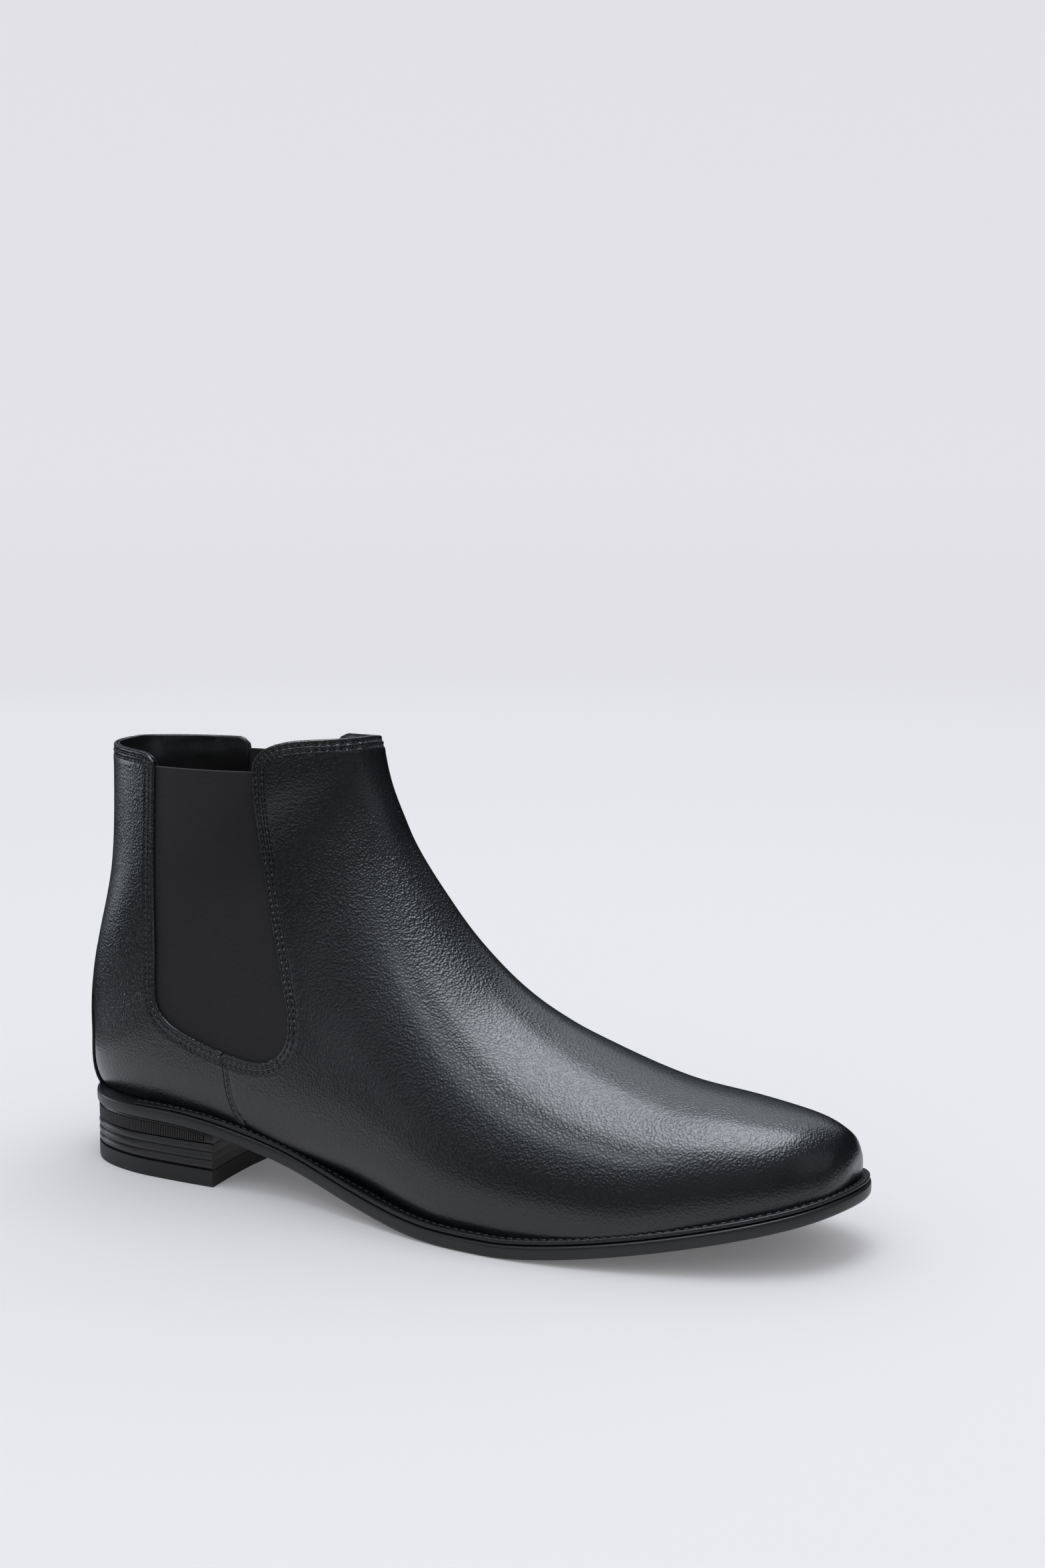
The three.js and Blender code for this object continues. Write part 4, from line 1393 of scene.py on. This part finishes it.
    def build_backstay(self) -> None:
        """The strip over the heel seam, wide at the sole and narrow at its top."""
        stay = self.stay
        sheet = Sheet.blank(*stay.places, (-stay.reach, stay.reach), stay.columns)
        p = sheet.base()
        foot = FOOT.seat - stay.below
        taper = np.clip((p[:, 2] - foot) / (stay.top - foot), 0, 1)
        half = stay.half_foot + (stay.half_top - stay.half_foot) * taper
        above = stay.top - p[:, 2]
        corner = half - np.abs(p[:, 1]) + above - stay.corner
        round_top = np.minimum(above, corner * stay.corner_slope)
        edge = np.minimum(half - np.abs(p[:, 1]), round_top)
        sheet.values[:, Sheet.RIM] = edge
        sheet.values[:, Sheet.SEAM] = FAR
        sheet.values[:, Sheet.EDGE] = edge
        sheet.values[:, Sheet.FLOOR] = p[:, 2] - FOOT.feather(p[:, 0])
        sheet.drop(edge < -4)
        sheet.split(Sheet.FLOOR, self.gap, keep=True)
        sheet.split(Sheet.EDGE, stay.edge, keep=True)
        for level in stay.rings:
            sheet.split(Sheet.RIM, level)
        sheet.split(Sheet.RIM, self.rows[0], row="rim0")
        lift = self.gap + stay.thickness
        self.remember("rear", sheet, lift)
        flat = sheet.compact()
        rim = flat.values[:, Sheet.RIM]
        outer = lift - self.dip * bell(rim - self.rows[0], self.dip_width)
        at_floor = flat.values[:, Sheet.FLOOR] < self.gap + NEAR
        points, faces, _ = walled(flat, outer, np.full(len(outer), self.gap),
                                  np.where(at_floor, 0.0, stay.edge))
        strip = mesh_object("backstay_strip", points, faces, Finishes.STAY,
                            {"grain": self.grain(points)})
        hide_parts("backstay", "backstay_top")
        MOTION.tilt(strip)

    def ribs(self) -> bpy.types.NodeTree:
        """The tree that raises horizontal ribs on a webbing.

        Returns:
            The tree, made once.
        """
        known = bpy.data.node_groups.get("webbing_ribs")
        if known:
            return known
        tree = node_group("webbing_ribs", {
            "Pitch": "NodeSocketFloat", "Depth": "NodeSocketFloat",
            "Webbing": "NodeSocketMaterial",
        })
        start = add_node(tree, "NodeGroupInput").outputs
        where = add_node(tree, "GeometryNodeInputPosition")
        apart = add_node(tree, "ShaderNodeSeparateXYZ", links={0: where.outputs[0]})
        turns = add_node(tree, "ShaderNodeMath", {"operation": "DIVIDE"},
                         {0: apart.outputs["Z"], 1: start["Pitch"]})
        phase = add_node(tree, "ShaderNodeMath", {"operation": "MULTIPLY", 1: math.pi},
                         {0: turns.outputs[0]})
        wave = add_node(tree, "ShaderNodeMath", {"operation": "SINE"}, {0: phase.outputs[0]})
        bump = add_node(tree, "ShaderNodeMath", {"operation": "ABSOLUTE"}, {0: wave.outputs[0]})
        rise = add_node(tree, "ShaderNodeMath", {"operation": "MULTIPLY"},
                        {0: bump.outputs[0], 1: start["Depth"]})
        normal = add_node(tree, "GeometryNodeInputNormal")
        move = add_node(tree, "ShaderNodeVectorMath", {"operation": "SCALE"},
                        {0: normal.outputs[0], "Scale": rise.outputs[0]})
        ribbed = add_node(tree, "GeometryNodeSetPosition",
                          links={"Geometry": start["Geometry"], "Offset": move.outputs[0]})
        end_tree(tree, ribbed.outputs[0], start["Webbing"])
        return tree

    def build_gores(self) -> None:
        """The elastic panels, which run on under the leather on three sides."""
        shape = self.gore
        step = self.rib_pitch / shape.rib_rows
        heights = np.arange(shape.floor, self.gore_top + 1e-6, step)
        line = CUTS.gore_line()
        rear, ahead = line[line[:, 0] < 60][::-1], line[line[:, 0] > 88]
        rear, ahead = rear[np.argsort(rear[:, 1])], ahead[np.argsort(ahead[:, 1])]
        low_x = np.interp(np.maximum(heights, shape.rear_low), rear[:, 1], rear[:, 0])
        high_x = np.interp(np.maximum(heights, shape.front_low), ahead[:, 1], ahead[:, 0])
        low_x, high_x = low_x - shape.lap, high_x + shape.lap
        across = np.linspace(0, 1, shape.columns)
        x = low_x[:, None] + (high_x - low_x)[:, None] * across
        z = np.broadcast_to(heights[:, None], x.shape)
        keep = (z > np.interp(x, shape.cut_x, shape.cut_z)).ravel()
        faces = [f for f in grid_faces(*x.shape) if keep[f[0]] and keep[f[1]]]
        for side, cad in CAD_SIDES.items():
            values = np.zeros((x.size, Sheet.COLUMNS))
            values[:, Sheet.T], values[:, Sheet.ANGLE] = FOOT.locate(x.ravel(), z.ravel(), side)
            sheet = Sheet(values, faces).compact()
            outer = np.full(len(sheet.values), -(self.leather + self.gap + self.rib_depth))
            inner = outer - self.elastic + 2 * self.rib_depth
            points, solid, _ = walled(sheet, outer, inner, np.full(len(outer), shape.edge),
                                      rings=4)
            base = mesh_object("webbing", points, solid, Finishes.ELASTIC)
            corners = np.array([v.co for v in base.data.vertices]) / MM - SHIFT
            gore = grown(f"elastic_gore_{side.name.lower()}", corners, [], self.ribs(), {
                "Pitch": self.rib_pitch * MM, "Depth": self.rib_depth * MM,
                "Webbing": Finishes.ELASTIC.value.material(),
            }, faces=[list(f.vertices) for f in base.data.polygons])
            bpy.data.objects.remove(base)
            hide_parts(f"gore_{cad}")
            MOTION.stretch(gore)

    def sew(self) -> None:
        """Sews the stitch rows of the front and the rear panels."""
        front = Stitching().sew("stitches_front", self.runs["front"])
        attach(front, Body.REAR.value)
        rear = Stitching().sew("stitches_rear", self.runs["rear"])
        MOTION.tilt(rear)

    def build(self) -> None:
        """Builds every piece of the upper."""
        self.build_vamp()
        self.build_quarters()
        self.build_backstay()
        self.build_gores()
        self.sew()


def strip_cap(ring: Array, height: Callable[[Array], Array], columns: int, first: int,
              ) -> tuple[Array, list[list[int]]]:
    """Fills a plan outline with rows that run from one side to the other.

    Args:
        ring: The outline's points; point k lies across from point -k.
        height: Height of the fill at each x.
        columns: Faces across.
        first: Number of the outline's first point.

    Returns:
        The new points and the faces.
    """
    count = len(ring)
    half = count // 2
    points, lines = [], []
    total = 0
    for k in range(1, half):
        a, b = ring[k], ring[count - k]
        share = np.linspace(0, 1, columns + 1)[1:-1, None]
        mid = a[:2] + (b[:2] - a[:2]) * share
        points.append(np.column_stack([mid, height(mid[:, 0])]))
        inner = [first + count + total + i for i in range(columns - 1)]
        lines.append([first + k, *inner, first + count - k])
        total += columns - 1
    faces = [[a[i], a[i + 1], b[i + 1], b[i]] for a, b in zip(lines, lines[1:])
             for i in range(columns)]
    faces += [[first, *lines[0][::-1]], [first + half, *lines[-1]]]
    return np.vstack(points), faces


def lofted(rings: Sequence[Array], closed: bool = True) -> tuple[Array, list[list[int]]]:
    """Joins rings of equal length with faces.

    Args:
        rings: Rows of points, all of one length.
        closed: Whether the last point of a ring joins the first.

    Returns:
        The points of all rings, and the faces.
    """
    count = len(rings[0])
    faces = []
    for level in range(len(rings) - 1):
        for k in range(count if closed else count - 1):
            a, b = level * count + k, level * count + (k + 1) % count
            faces.append([a, b, b + count, a + count])
    return np.vstack(rings), faces


@dataclass
class Bottom:
    """The layers under the foot that are built here: sock, insole, welt and outsole; the filler
    keeps its frame shape.
    """

    gap: float = 0.3
    leather: float = 1.4
    lining: float = 0.8
    welt: float = 1.7
    insole: float = 2.0
    sock: float = 1.2
    start: float = 34.0
    # How far the insole board and the sock stay inside the skin of the last.
    insole_inset: float = 4.2
    sock_inset: float = 4.25
    layer_columns: int = 22
    skive: float = 0.35
    skive_share: float = 1 / 12
    # The outsole's edge: how far in from its outline, and how far over or under its top.
    slab: tuple[tuple[float, float], ...] = (
        (7, -5), (1.3, -5), (0.5, -4.75), (0.08, -4.2), (0, -3.4), (0, -1.3), (0.15, -0.6),
        (0.5, -0.15), (1.1, 0), (8, 0),
    )
    slab_columns: int = 16
    # The stained part of the underside: its rear end, its margin and how steep it may be.
    stain_from: float = 70.0
    stain_margin: float = 3.0
    stain_normal: float = -0.6
    # The welt's outer edge lies this far in from the sole's, and it may be this wide.
    welt_inset: float = 0.5
    welt_widths: tuple[float, float] = (0.6, 12.0)
    # The outer edge takes at most this share of the width.
    welt_edge_share: float = 0.45
    # The upper's wall is looked for at this height, this far off the last.
    wall_up: float = 1.2
    wall_off: float = 0.12
    wall_points: int = 260
    # The welt's stitches: pitch, length and thickness, and how far they stand out of it.
    stitch_sizes: tuple[float, float, float] = (3.1, 2.3, 0.6)
    stitch_lift: float = 0.03
    # Its rear ends start at this share of its height and rise over this length.
    welt_thin: float = 0.3
    welt_taper: float = 50.0

    def build(self) -> None:
        """Builds the layers from the outsole up."""
        self.build_outsole()
        self.build_welt()
        floor = self.gap + self.leather + self.gap + self.lining + self.gap
        self.layer("insole", floor, self.insole, -self.insole_inset, Finishes.BOARD,
                   "insole_board", ("insole_board", "insole_board_toe"))
        self.layer("sock", floor + self.insole + self.gap, self.sock, -self.sock_inset,
                   Finishes.SOCK, "lining", ("sock_liner", "sock_liner_toe"))

    def layer(self, name: str, floor: float, thick: float, offset: float, finish: Finishes,
              slot: str, stands_for: tuple[str, ...]) -> None:
        """A flat layer that fills the foot's outline at its own height.

        Args:
            name: The piece's name.
            floor: Height of its underside above the outsole.
            thick: Its thickness.
            offset: How far its edge lies outside the last's skin.
            finish: Its finish.
            slot: The material slot of the frame it belongs to; not used.
            stands_for: The frame nodes that it replaces.
        """
        outer, inner = FOOT.contour(floor + thick / 2, offset)
        share = np.linspace(0, 1, self.layer_columns + 1)[None, :, None]
        grid = outer[:, None, :2] + (inner - outer)[:, None, :2] * share
        rows, wide = grid.shape[:2]
        flat = grid.reshape(-1, 2)
        # The layer's upper edge is skived towards both sides.
        s = np.broadcast_to(share[..., 0], (rows, wide)).ravel()
        level = FOOT.feather(flat[:, 0])
        inside = np.clip(np.minimum(s, 1 - s) / self.skive_share, 0, 1)
        skive = self.skive * (1 - inside) ** 2
        top = np.column_stack([flat, level + floor + thick - skive])
        low = np.column_stack([flat, level + floor])
        count = len(flat)
        faces = []
        for quad in grid_faces(rows, wide):
            faces += [quad, [v + count for v in reversed(quad)]]
        border = list(range(wide)) + [i * wide + wide - 1 for i in range(1, rows)]
        border += [(rows - 1) * wide + k for k in range(wide - 2, -1, -1)]
        border += [i * wide for i in range(rows - 2, 0, -1)]
        for a, b in zip(border, border[1:] + border[:1]):
            faces.append([a, b, b + count, a + count])
        piece = mesh_object(name, np.vstack([top, low]), faces, finish, sharp_deg=50)
        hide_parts(*stands_for)
        MOTION.bend(piece)

    def build_outsole(self) -> None:
        """The outsole: a curved slab with a rounded, buffed edge."""
        rings = []
        for inset, up in self.slab:
            plan = CUTS.plan(inset)
            rings.append(np.column_stack([plan, FOOT.feather(plan[:, 0]) + up]))
        points, faces = lofted(rings)
        count, total = len(rings[0]), len(points)
        parts, caps = [points], []
        for ring, (_, up), first in ((rings[0], self.slab[0], 0),
                                     (rings[-1], self.slab[-1], total - count)):
            fill, more = strip_cap(ring, lambda x, up=up: FOOT.feather(x) + up,
                                   self.slab_columns, first)
            shift = total - (first + count)
            caps += [[v if v < first + count else v + shift for v in f] for f in more]
            parts.append(fill)
            total += len(fill)
        piece = mesh_object("outsole_slab", np.vstack(parts), faces + caps, Finishes.OUTSOLE,
                            sharp_deg=60)
        piece.data.materials.append(Finishes.UNDERSIDE.value.material())
        tread = CUTS.plan(self.stain_margin)
        # Slot 1 is the stained tread; everything else keeps the buffed rubber.
        for polygon in piece.data.polygons:
            centre = np.array(polygon.center) / MM - SHIFT
            if polygon.normal.z < self.stain_normal and centre[0] > self.stain_from:
                polygon.material_index = int(is_inside(centre[None, :2], tread)[0])
        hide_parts("outsole", "outsole_toe")
        MOTION.bend(piece)

    def build_welt(self) -> None:
        """The narrow rand on the sole round the forepart, with its stitches."""
        plan = CUTS.plan(self.welt_inset)
        inward = CUTS.plan(self.welt_inset + 1) - plan
        keep = [k for k in range(len(plan)) if plan[k][0] > self.start]
        outer, inner = FOOT.contour(self.wall_up, self.wall_off, self.wall_points)
        wall = np.vstack([outer[:, :2], inner[::-1, :2]])
        # Each place of the outline looks inwards for the upper's wall.
        width = np.full(len(plan), 30.0)
        for a, b in zip(wall, np.roll(wall, -1, 0)):
            d = b - a
            det = inward[:, 0] * d[1] - inward[:, 1] * d[0]
            det = np.where(np.abs(det) < TINY, TINY, det)
            rel = a - plan
            s = (rel[:, 0] * d[1] - rel[:, 1] * d[0]) / det
            u = (rel[:, 0] * inward[:, 1] - rel[:, 1] * inward[:, 0]) / det
            hit = (u >= -1e-6) & (u <= 1 + 1e-6) & (s > -3)
            width = np.where(hit, np.minimum(width, s), width)
        width = np.clip(width, *self.welt_widths)
        low, high = self.gap, self.gap + self.welt
        # Inset, height, and whether the inset counts from the upper's wall.
        section = [(0.5, low, 0), (0.08, low + 0.35, 0), (0.0, high - 0.55, 0),
                   (0.35, high - 0.1, 0), (0.8, high, 0), (0.15, high, 1), (0.0, high - 0.4, 1),
                   (0.0, low, 1)]
        taper = smooth(self.start, self.start + self.welt_taper, plan[:, 0])
        skived = self.welt_thin + (1 - self.welt_thin) * taper
        rings = []
        for inset, up, is_wall in section:
            outward = np.minimum(inset, width * self.welt_edge_share)
            reach = np.where(is_wall, width - inset, outward)
            p = plan + inward * reach[:, None]
            rise = low + (up - low) * skived
            rings.append(np.column_stack([p, FOOT.feather(p[:, 0]) + rise])[keep])
        points, faces = lofted(rings + [rings[0]], closed=False)
        points = points[:len(rings) * len(keep)]
        total = len(points)
        faces = [[v % total for v in f] for f in faces]
        size = len(keep)
        faces += [[k * size for k in range(len(rings))],
                  [k * size + size - 1 for k in reversed(range(len(rings)))]]
        welt = mesh_object("welt", points, faces, Finishes.WELT, sharp_deg=55)
        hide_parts("welt_lateral", "welt_medial", "welt_toe")
        MOTION.bend(welt)
        run = plan + inward * (width / 2)[:, None]
        top = FOOT.feather(run[:, 0]) + low + self.welt * skived + self.stitch_lift
        line = np.column_stack([run, top])[keep]
        stitches = Stitching(*self.stitch_sizes).sew("stitches_welt", [line])
        MOTION.bend(stitches)


@dataclass
class Heel:
    """The heel: ribbed rand, waved block and top piece."""

    length: float = 72.0
    inset: float = 0.5
    gap: float = 0.3
    rand_back: float = 6.0
    rand_breast: float = 2.7
    top_piece: float = 6.3
    hollow: float = 2.5
    wave: float = 0.75
    waves: int = 3
    wave_rings: int = 46
    rib_pitch: float = 0.82
    rib_width: float = 0.58
    # The rand's wall and its rounded edges lie this far inside the heel's outline.
    rand_inset: float = 0.75
    rand_edge: float = 1.0
    # Its ribs stand in this far, and end this far over its foot and under its top.
    rib_inset: float = 0.5
    rib_ends: tuple[float, float] = (0.35, 0.7)
    # They run forward to this distance from the breast.
    rib_stop: float = 4.5
    # Rounding of the top piece's edges: inset and distance from its face.
    rounding: tuple[tuple[float, float], ...] = ((0.6, 0.0), (0.15, 0.15), (0.0, 0.6))

    def plan(self, inset: float) -> Array:
        """Plan outline: the sole's outline behind the breast, closed by a hollow breast.

        Args:
            inset: Distance inwards from the sole's outline.

        Returns:
            Points of the closed outline.
        """
        breast = self.length - self.inset
        rim = CUTS.plan(inset)
        turn = len(rim) // 2
        outer = rim[:turn][rim[:turn, 0] < breast - 2]
        inner = rim[turn:][rim[turn:, 0] < breast - 2]
        share = np.linspace(0, 1, 19)
        y = outer[-1, 1] + (inner[0, 1] - outer[-1, 1]) * share
        hollow = np.column_stack([breast - self.hollow * np.sin(math.pi * share), y])
        return np.vstack([outer, hollow, inner])

    def seat(self, x: Array) -> Array:
        """Height of the underside of the sole above the heel."""
        return FOOT.feather(x) - FOOT.sole - self.gap

    def rand_floor(self, x: Array) -> Array:
        """Height of the underside of the rand.

        Args:
            x: Distances from the back of the heel.

        Returns:
            Heights above the floor.
        """
        back = self.seat(np.array(0.0)) - self.rand_back
        front = self.seat(np.array(self.length)) - self.rand_breast
        return back + (front - back) * (x + 20) / (self.length + 30)

    def stack(self, name: str, rings: Sequence[Array], finish: Finishes, slot: str,
              stands_for: str, sharp_deg: float = 40) -> None:
        """Closes a stack of outlines into a piece.

        Args:
            name: The piece's name.
            rings: Outlines from the lowest up.
            finish: Its finish.
            slot: The material slot of the frame it belongs to; not used.
            stands_for: The frame node that it replaces.
            sharp_deg: Edges that turn more than this stay sharp.
        """
        points, faces = lofted(rings)
        count, last = len(rings[0]), (len(rings) - 1) * len(rings[0])
        faces += [list(range(count))[::-1], [last + k for k in range(count)]]
        piece = mesh_object(name, points, faces, finish, sharp_deg=sharp_deg)
        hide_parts(stands_for)
        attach(piece, Body.REAR.value)

    def ring(self, inset: float, height: Callable[[Array], Array]) -> Array:
        """One outline of the stack."""
        plan = self.plan(inset)
        return np.column_stack([plan, np.broadcast_to(height(plan[:, 0]), len(plan))])

    def build(self) -> None:
        """Builds the rand, its ribs, the block and the top piece."""
        edge, rand = self.inset, self.inset + self.rand_inset
        self.stack("heel_rand_wedge", [
            self.ring(edge + self.rand_edge, self.rand_floor),
            self.ring(rand, lambda x: self.rand_floor(x) + 0.2),
            self.ring(rand, lambda x: self.seat(x) - 0.5),
            self.ring(edge + self.rand_edge, self.seat),
        ], Finishes.HEEL, "heel", "heel_rand")
        foot = self.top_piece + self.gap
        rings = []
        for share in np.linspace(0, 1, self.wave_rings):
            def height(x: Array, share: float = share) -> Array:
                """Height of this outline, which ends under the rand."""
                return foot + share * (self.rand_floor(x) - self.gap - foot)
            wave = abs(math.sin(math.pi * self.waves * share))
            rings.append(self.ring(edge + self.wave * (1 - wave), height))
        self.stack("heel_block_waved", rings, Finishes.HEEL, "heel", "heel_block", 50)
        levels = list(self.rounding)
        levels += [(inset, self.top_piece - up) for inset, up in reversed(self.rounding)]
        self.stack("heel_top_piece", [
            self.ring(edge + inset, lambda x, up=up: np.full_like(x, up)) for inset, up in levels
        ], Finishes.TOP_PIECE, "top_piece", "top_piece")
        self.build_ribs()

    def build_ribs(self) -> None:
        """Upright ribs round the rand, as tall as it is at each place."""
        rim = CUTS.plan(self.inset + self.rib_inset, 3 * PER_SPAN)
        turn = len(rim) // 2
        line = np.vstack([rim[turn:], rim[:turn]])
        line = line[line[:, 0] < self.length - self.rib_stop]
        run = np.concatenate([[0], np.cumsum(np.hypot(*np.diff(line, axis=0).T))])
        at = np.arange(0, run[-1], self.rib_pitch)
        x, y = np.interp(at, run, line[:, 0]), np.interp(at, run, line[:, 1])
        low, high = self.rand_floor(x) + self.rib_ends[0], self.seat(x) - self.rib_ends[1]
        tree = node_group("rand_ribs", {
            "Width": "NodeSocketFloat", "Moulding": "NodeSocketMaterial"})
        start = add_node(tree, "NodeGroupInput").outputs
        tall = add_node(tree, "GeometryNodeInputNamedAttribute",
                        {"data_type": "FLOAT", "Name": "tall"})
        spots = add_node(tree, "GeometryNodeMeshToPoints", links={"Mesh": start["Geometry"]})
        bar = add_node(tree, "GeometryNodeMeshCylinder",
                       {"Vertices": 8, "Radius": 0.5, "Depth": 1.0})
        size = add_node(tree, "ShaderNodeCombineXYZ",
                        links={"X": start["Width"], "Y": start["Width"],
                               "Z": tall.outputs["Attribute"]})
        laid = add_node(tree, "GeometryNodeInstanceOnPoints",
                        links={"Points": spots.outputs[0], "Instance": bar.outputs["Mesh"],
                               "Scale": size.outputs[0]})
        end_tree(tree, laid.outputs[0], start["Moulding"], soft=False)
        ribs = grown("heel_rand_ribs", np.column_stack([x, y, (low + high) / 2]), [], tree,
                     {"Width": self.rib_width * MM, "Moulding": Finishes.HEEL.value.material()},
                     {"tall": (high - low) * MM})
        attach(ribs, Body.REAR.value)


@dataclass
class Hidden:
    """Inner pieces that keep their frame shape and get their real finish."""

    finishes: dict[str, Finishes] = field(default_factory=lambda: {
        "heel_counter": Finishes.STIFFENER, "toe_puff": Finishes.STIFFENER,
        "filler_waist": Finishes.FILLER, "filler_ball": Finishes.FILLER,
        "shank": Finishes.STEEL, "shank_rivet_1": Finishes.STEEL,
        "shank_rivet_2": Finishes.STEEL,
        **{f"heel_nail_{i}": Finishes.STEEL for i in range(1, 6)},
    })

    def dress(self) -> None:
        """Puts each finish in the material slots of its node."""
        for name, finish in self.finishes.items():
            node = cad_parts[name]
            node.data.materials.clear()
            node.data.materials.append(finish.value.material())


@dataclass(frozen=True)
class Softbox:
    """One rectangular lamp that faces the boot."""

    name: str
    where: tuple[float, float, float]
    size: tuple[float, float]
    power: float
    colour: tuple[float, float, float] = (0.86, 0.93, 1.0)
    aim_up: float = 0.08

    def light(self) -> None:
        """Adds the lamp to the scene."""
        data = bpy.data.lights.new(self.name, "AREA")
        data.shape = "RECTANGLE"
        data.size, data.size_y = self.size
        data.energy = self.power
        data.color = self.colour
        lamp = put(self.name, data)
        lamp.location = self.where
        aim = Vector((0.0, 0.0, self.aim_up)) - Vector(self.where)
        lamp.rotation_euler = aim.to_track_quat("-Z", "Y").to_euler()


@dataclass
class Studio:
    """Pale sweep, soft lights and the camera."""

    azimuth: float = 27.73
    elevation: float = 8.26
    distance: float = 819.8
    focal_px: float = 3473.8
    image_height: float = 2352.0
    target: tuple[float, float, float] = (184.05, 0.0, 155.35)
    sensor_mm: float = 36.0
    # Paper: its own colour, the colour it glows in, and the glow near and far from the boot. The
    # glow is painted light: weaker near the boot, where the lamps light the floor and its shadow
    # falls, and stronger far off, where the lamps fall off.
    paper: str = "#6f6f70"
    pale: str = "#e9eaec"
    glow_metres: tuple[float, float] = (0.4, 3.0)
    glow: tuple[float, float] = (0.13, 0.27)
    floor_radius: float = 0.3
    sweep_from: float = 2.2
    sweep_radius: float = 1.5
    wall_top: float = 4.5
    air: str = "#f2f1f4"
    air_strength: float = 3.8
    # Softboxes: place and size in metres, power in watts.
    softboxes: tuple[Softbox, ...] = (
        Softbox("overhead", (0.12, 0.0, 1.5), (1.2, 0.7), 27),
        Softbox("high_front", (-0.12, -0.95, 1.25), (0.6, 0.35), 3.2),
        Softbox("left_front", (-1.25, -1.15, 0.75), (0.7, 1.2), 2.5),
        Softbox("left_low", (-1.2, -0.1, 0.14), (0.5, 0.25), 1.5),
        Softbox("left_back", (-1.3, 0.9, 0.7), (0.8, 1.2), 0.8),
        Softbox("back", (-0.5, 1.4, 1.35), (1.8, 1.2), 9),
        Softbox("right_fill", (1.6, -0.2, 0.8), (1.0, 1.0), 1.4),
        Softbox("front_fill", (0.9, -2.1, 1.2), (2.4, 1.6), 2),
    )

    def build(self) -> None:
        """Builds the sweep, the lights and the camera."""
        self.build_camera()
        self.build_sweep()
        for softbox in self.softboxes:
            softbox.light()
        world = bpy.data.worlds.new("studio_air")
        world.use_nodes = True
        background = world.node_tree.nodes["Background"]
        background.inputs["Color"].default_value = linear(self.air)
        background.inputs["Strength"].default_value = self.air_strength
        # The pale air lights the boot but leaves no haze on its polished leather.
        world.cycles_visibility.glossy = False
        bpy.context.scene.world = world

    def build_camera(self) -> None:
        """Sets the camera at the three-quarter view from the outer side of the toe."""
        a, e = math.radians(self.azimuth), math.radians(self.elevation)
        ahead = Vector((-math.sin(a) * math.cos(e), math.cos(a) * math.cos(e), -math.sin(e)))
        data = bpy.data.cameras.new("camera")
        data.sensor_width = self.sensor_mm
        data.lens = self.focal_px / self.image_height * self.sensor_mm
        camera = put("camera", data)
        camera.location = Vector(place(*self.target)) - ahead * self.distance * MM
        camera.rotation_euler = ahead.to_track_quat("-Z", "Y").to_euler()
        bpy.context.scene.camera = camera

    def build_sweep(self) -> None:
        """A pale floor that curves up into the background on every side."""
        start, radius = self.sweep_from, self.sweep_radius
        curve = [(start + radius * math.sin(s), radius - radius * math.cos(s))
                 for s in np.linspace(0.08, math.pi / 2, 16)]
        paper = bpy.data.materials.new("background_paper")
        paper.use_nodes = True
        tree = paper.node_tree
        tree.nodes.clear()
        where = add_node(tree, "ShaderNodeTexCoord").outputs["Object"]
        # The glow grows with distance from the boot: painted light that stands in for the lamps'
        # falloff over the floor.
        far = add_node(tree, "ShaderNodeVectorMath", {"operation": "LENGTH"}, {0: where})
        glow = add_node(tree, "ShaderNodeMapRange",
                        {"From Min": self.glow_metres[0], "From Max": self.glow_metres[1],
                         "To Min": self.glow[0], "To Max": self.glow[1]},
                        {"Value": far.outputs["Value"]})
        shader = add_node(tree, "ShaderNodeBsdfPrincipled",
                          {"Base Color": linear(self.paper), "Roughness": 0.9,
                           "Specular IOR Level": 0.0, "Emission Color": linear(self.pale)},
                          {"Emission Strength": glow.outputs[0]})
        add_node(tree, "ShaderNodeOutputMaterial", links={"Surface": shader.outputs[0]})
        self.turned("floor", [(0.001, 0.0), (self.floor_radius, 0.0)], paper)
        backdrop = self.turned("backdrop", [
            (self.floor_radius, 0.0), (start, 0.0), *curve, (start + radius, self.wall_top),
        ], paper)
        # Only the floor close by shows in the leather and lights it.
        backdrop.visible_glossy = False
        backdrop.visible_diffuse = False

    @staticmethod
    def turned(name: str, profile: Sequence[tuple[float, float]],
               paper: bpy.types.Material) -> bpy.types.Object:
        """Turns a profile of radius and height round the vertical and stages it.

        Args:
            name: The object's name.
            profile: Radius and height of each point, in metres.
            paper: Its material.

        Returns:
            The staged object.
        """
        sides = 64
        rings = [[(r * math.cos(2 * math.pi * k / sides), r * math.sin(2 * math.pi * k / sides), z)
                  for k in range(sides)] for r, z in profile]
        points, faces = lofted(rings)
        mesh = bpy.data.meshes.new(name)
        mesh.from_pydata(points.tolist(), [], [face[::-1] for face in faces])
        mesh.polygons.foreach_set("use_smooth", [True] * len(mesh.polygons))
        mesh.materials.append(paper)
        made = put(name, mesh)
        made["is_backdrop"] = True
        return made


def main() -> None:
    """Builds the boot's sub-assemblies in order and reports each piece."""
    logging.basicConfig(level=logging.INFO, format="%(name)s: %(message)s")
    bpy.context.scene.view_settings.view_transform = "Standard"
    Studio().build()
    Upper().build()
    Bottom().build()
    Heel().build()
    Hidden().dress()
    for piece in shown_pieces():
        log.info("%s: %d faces", piece.name, len(piece.data.polygons))


if __name__ == "__main__":
    main()
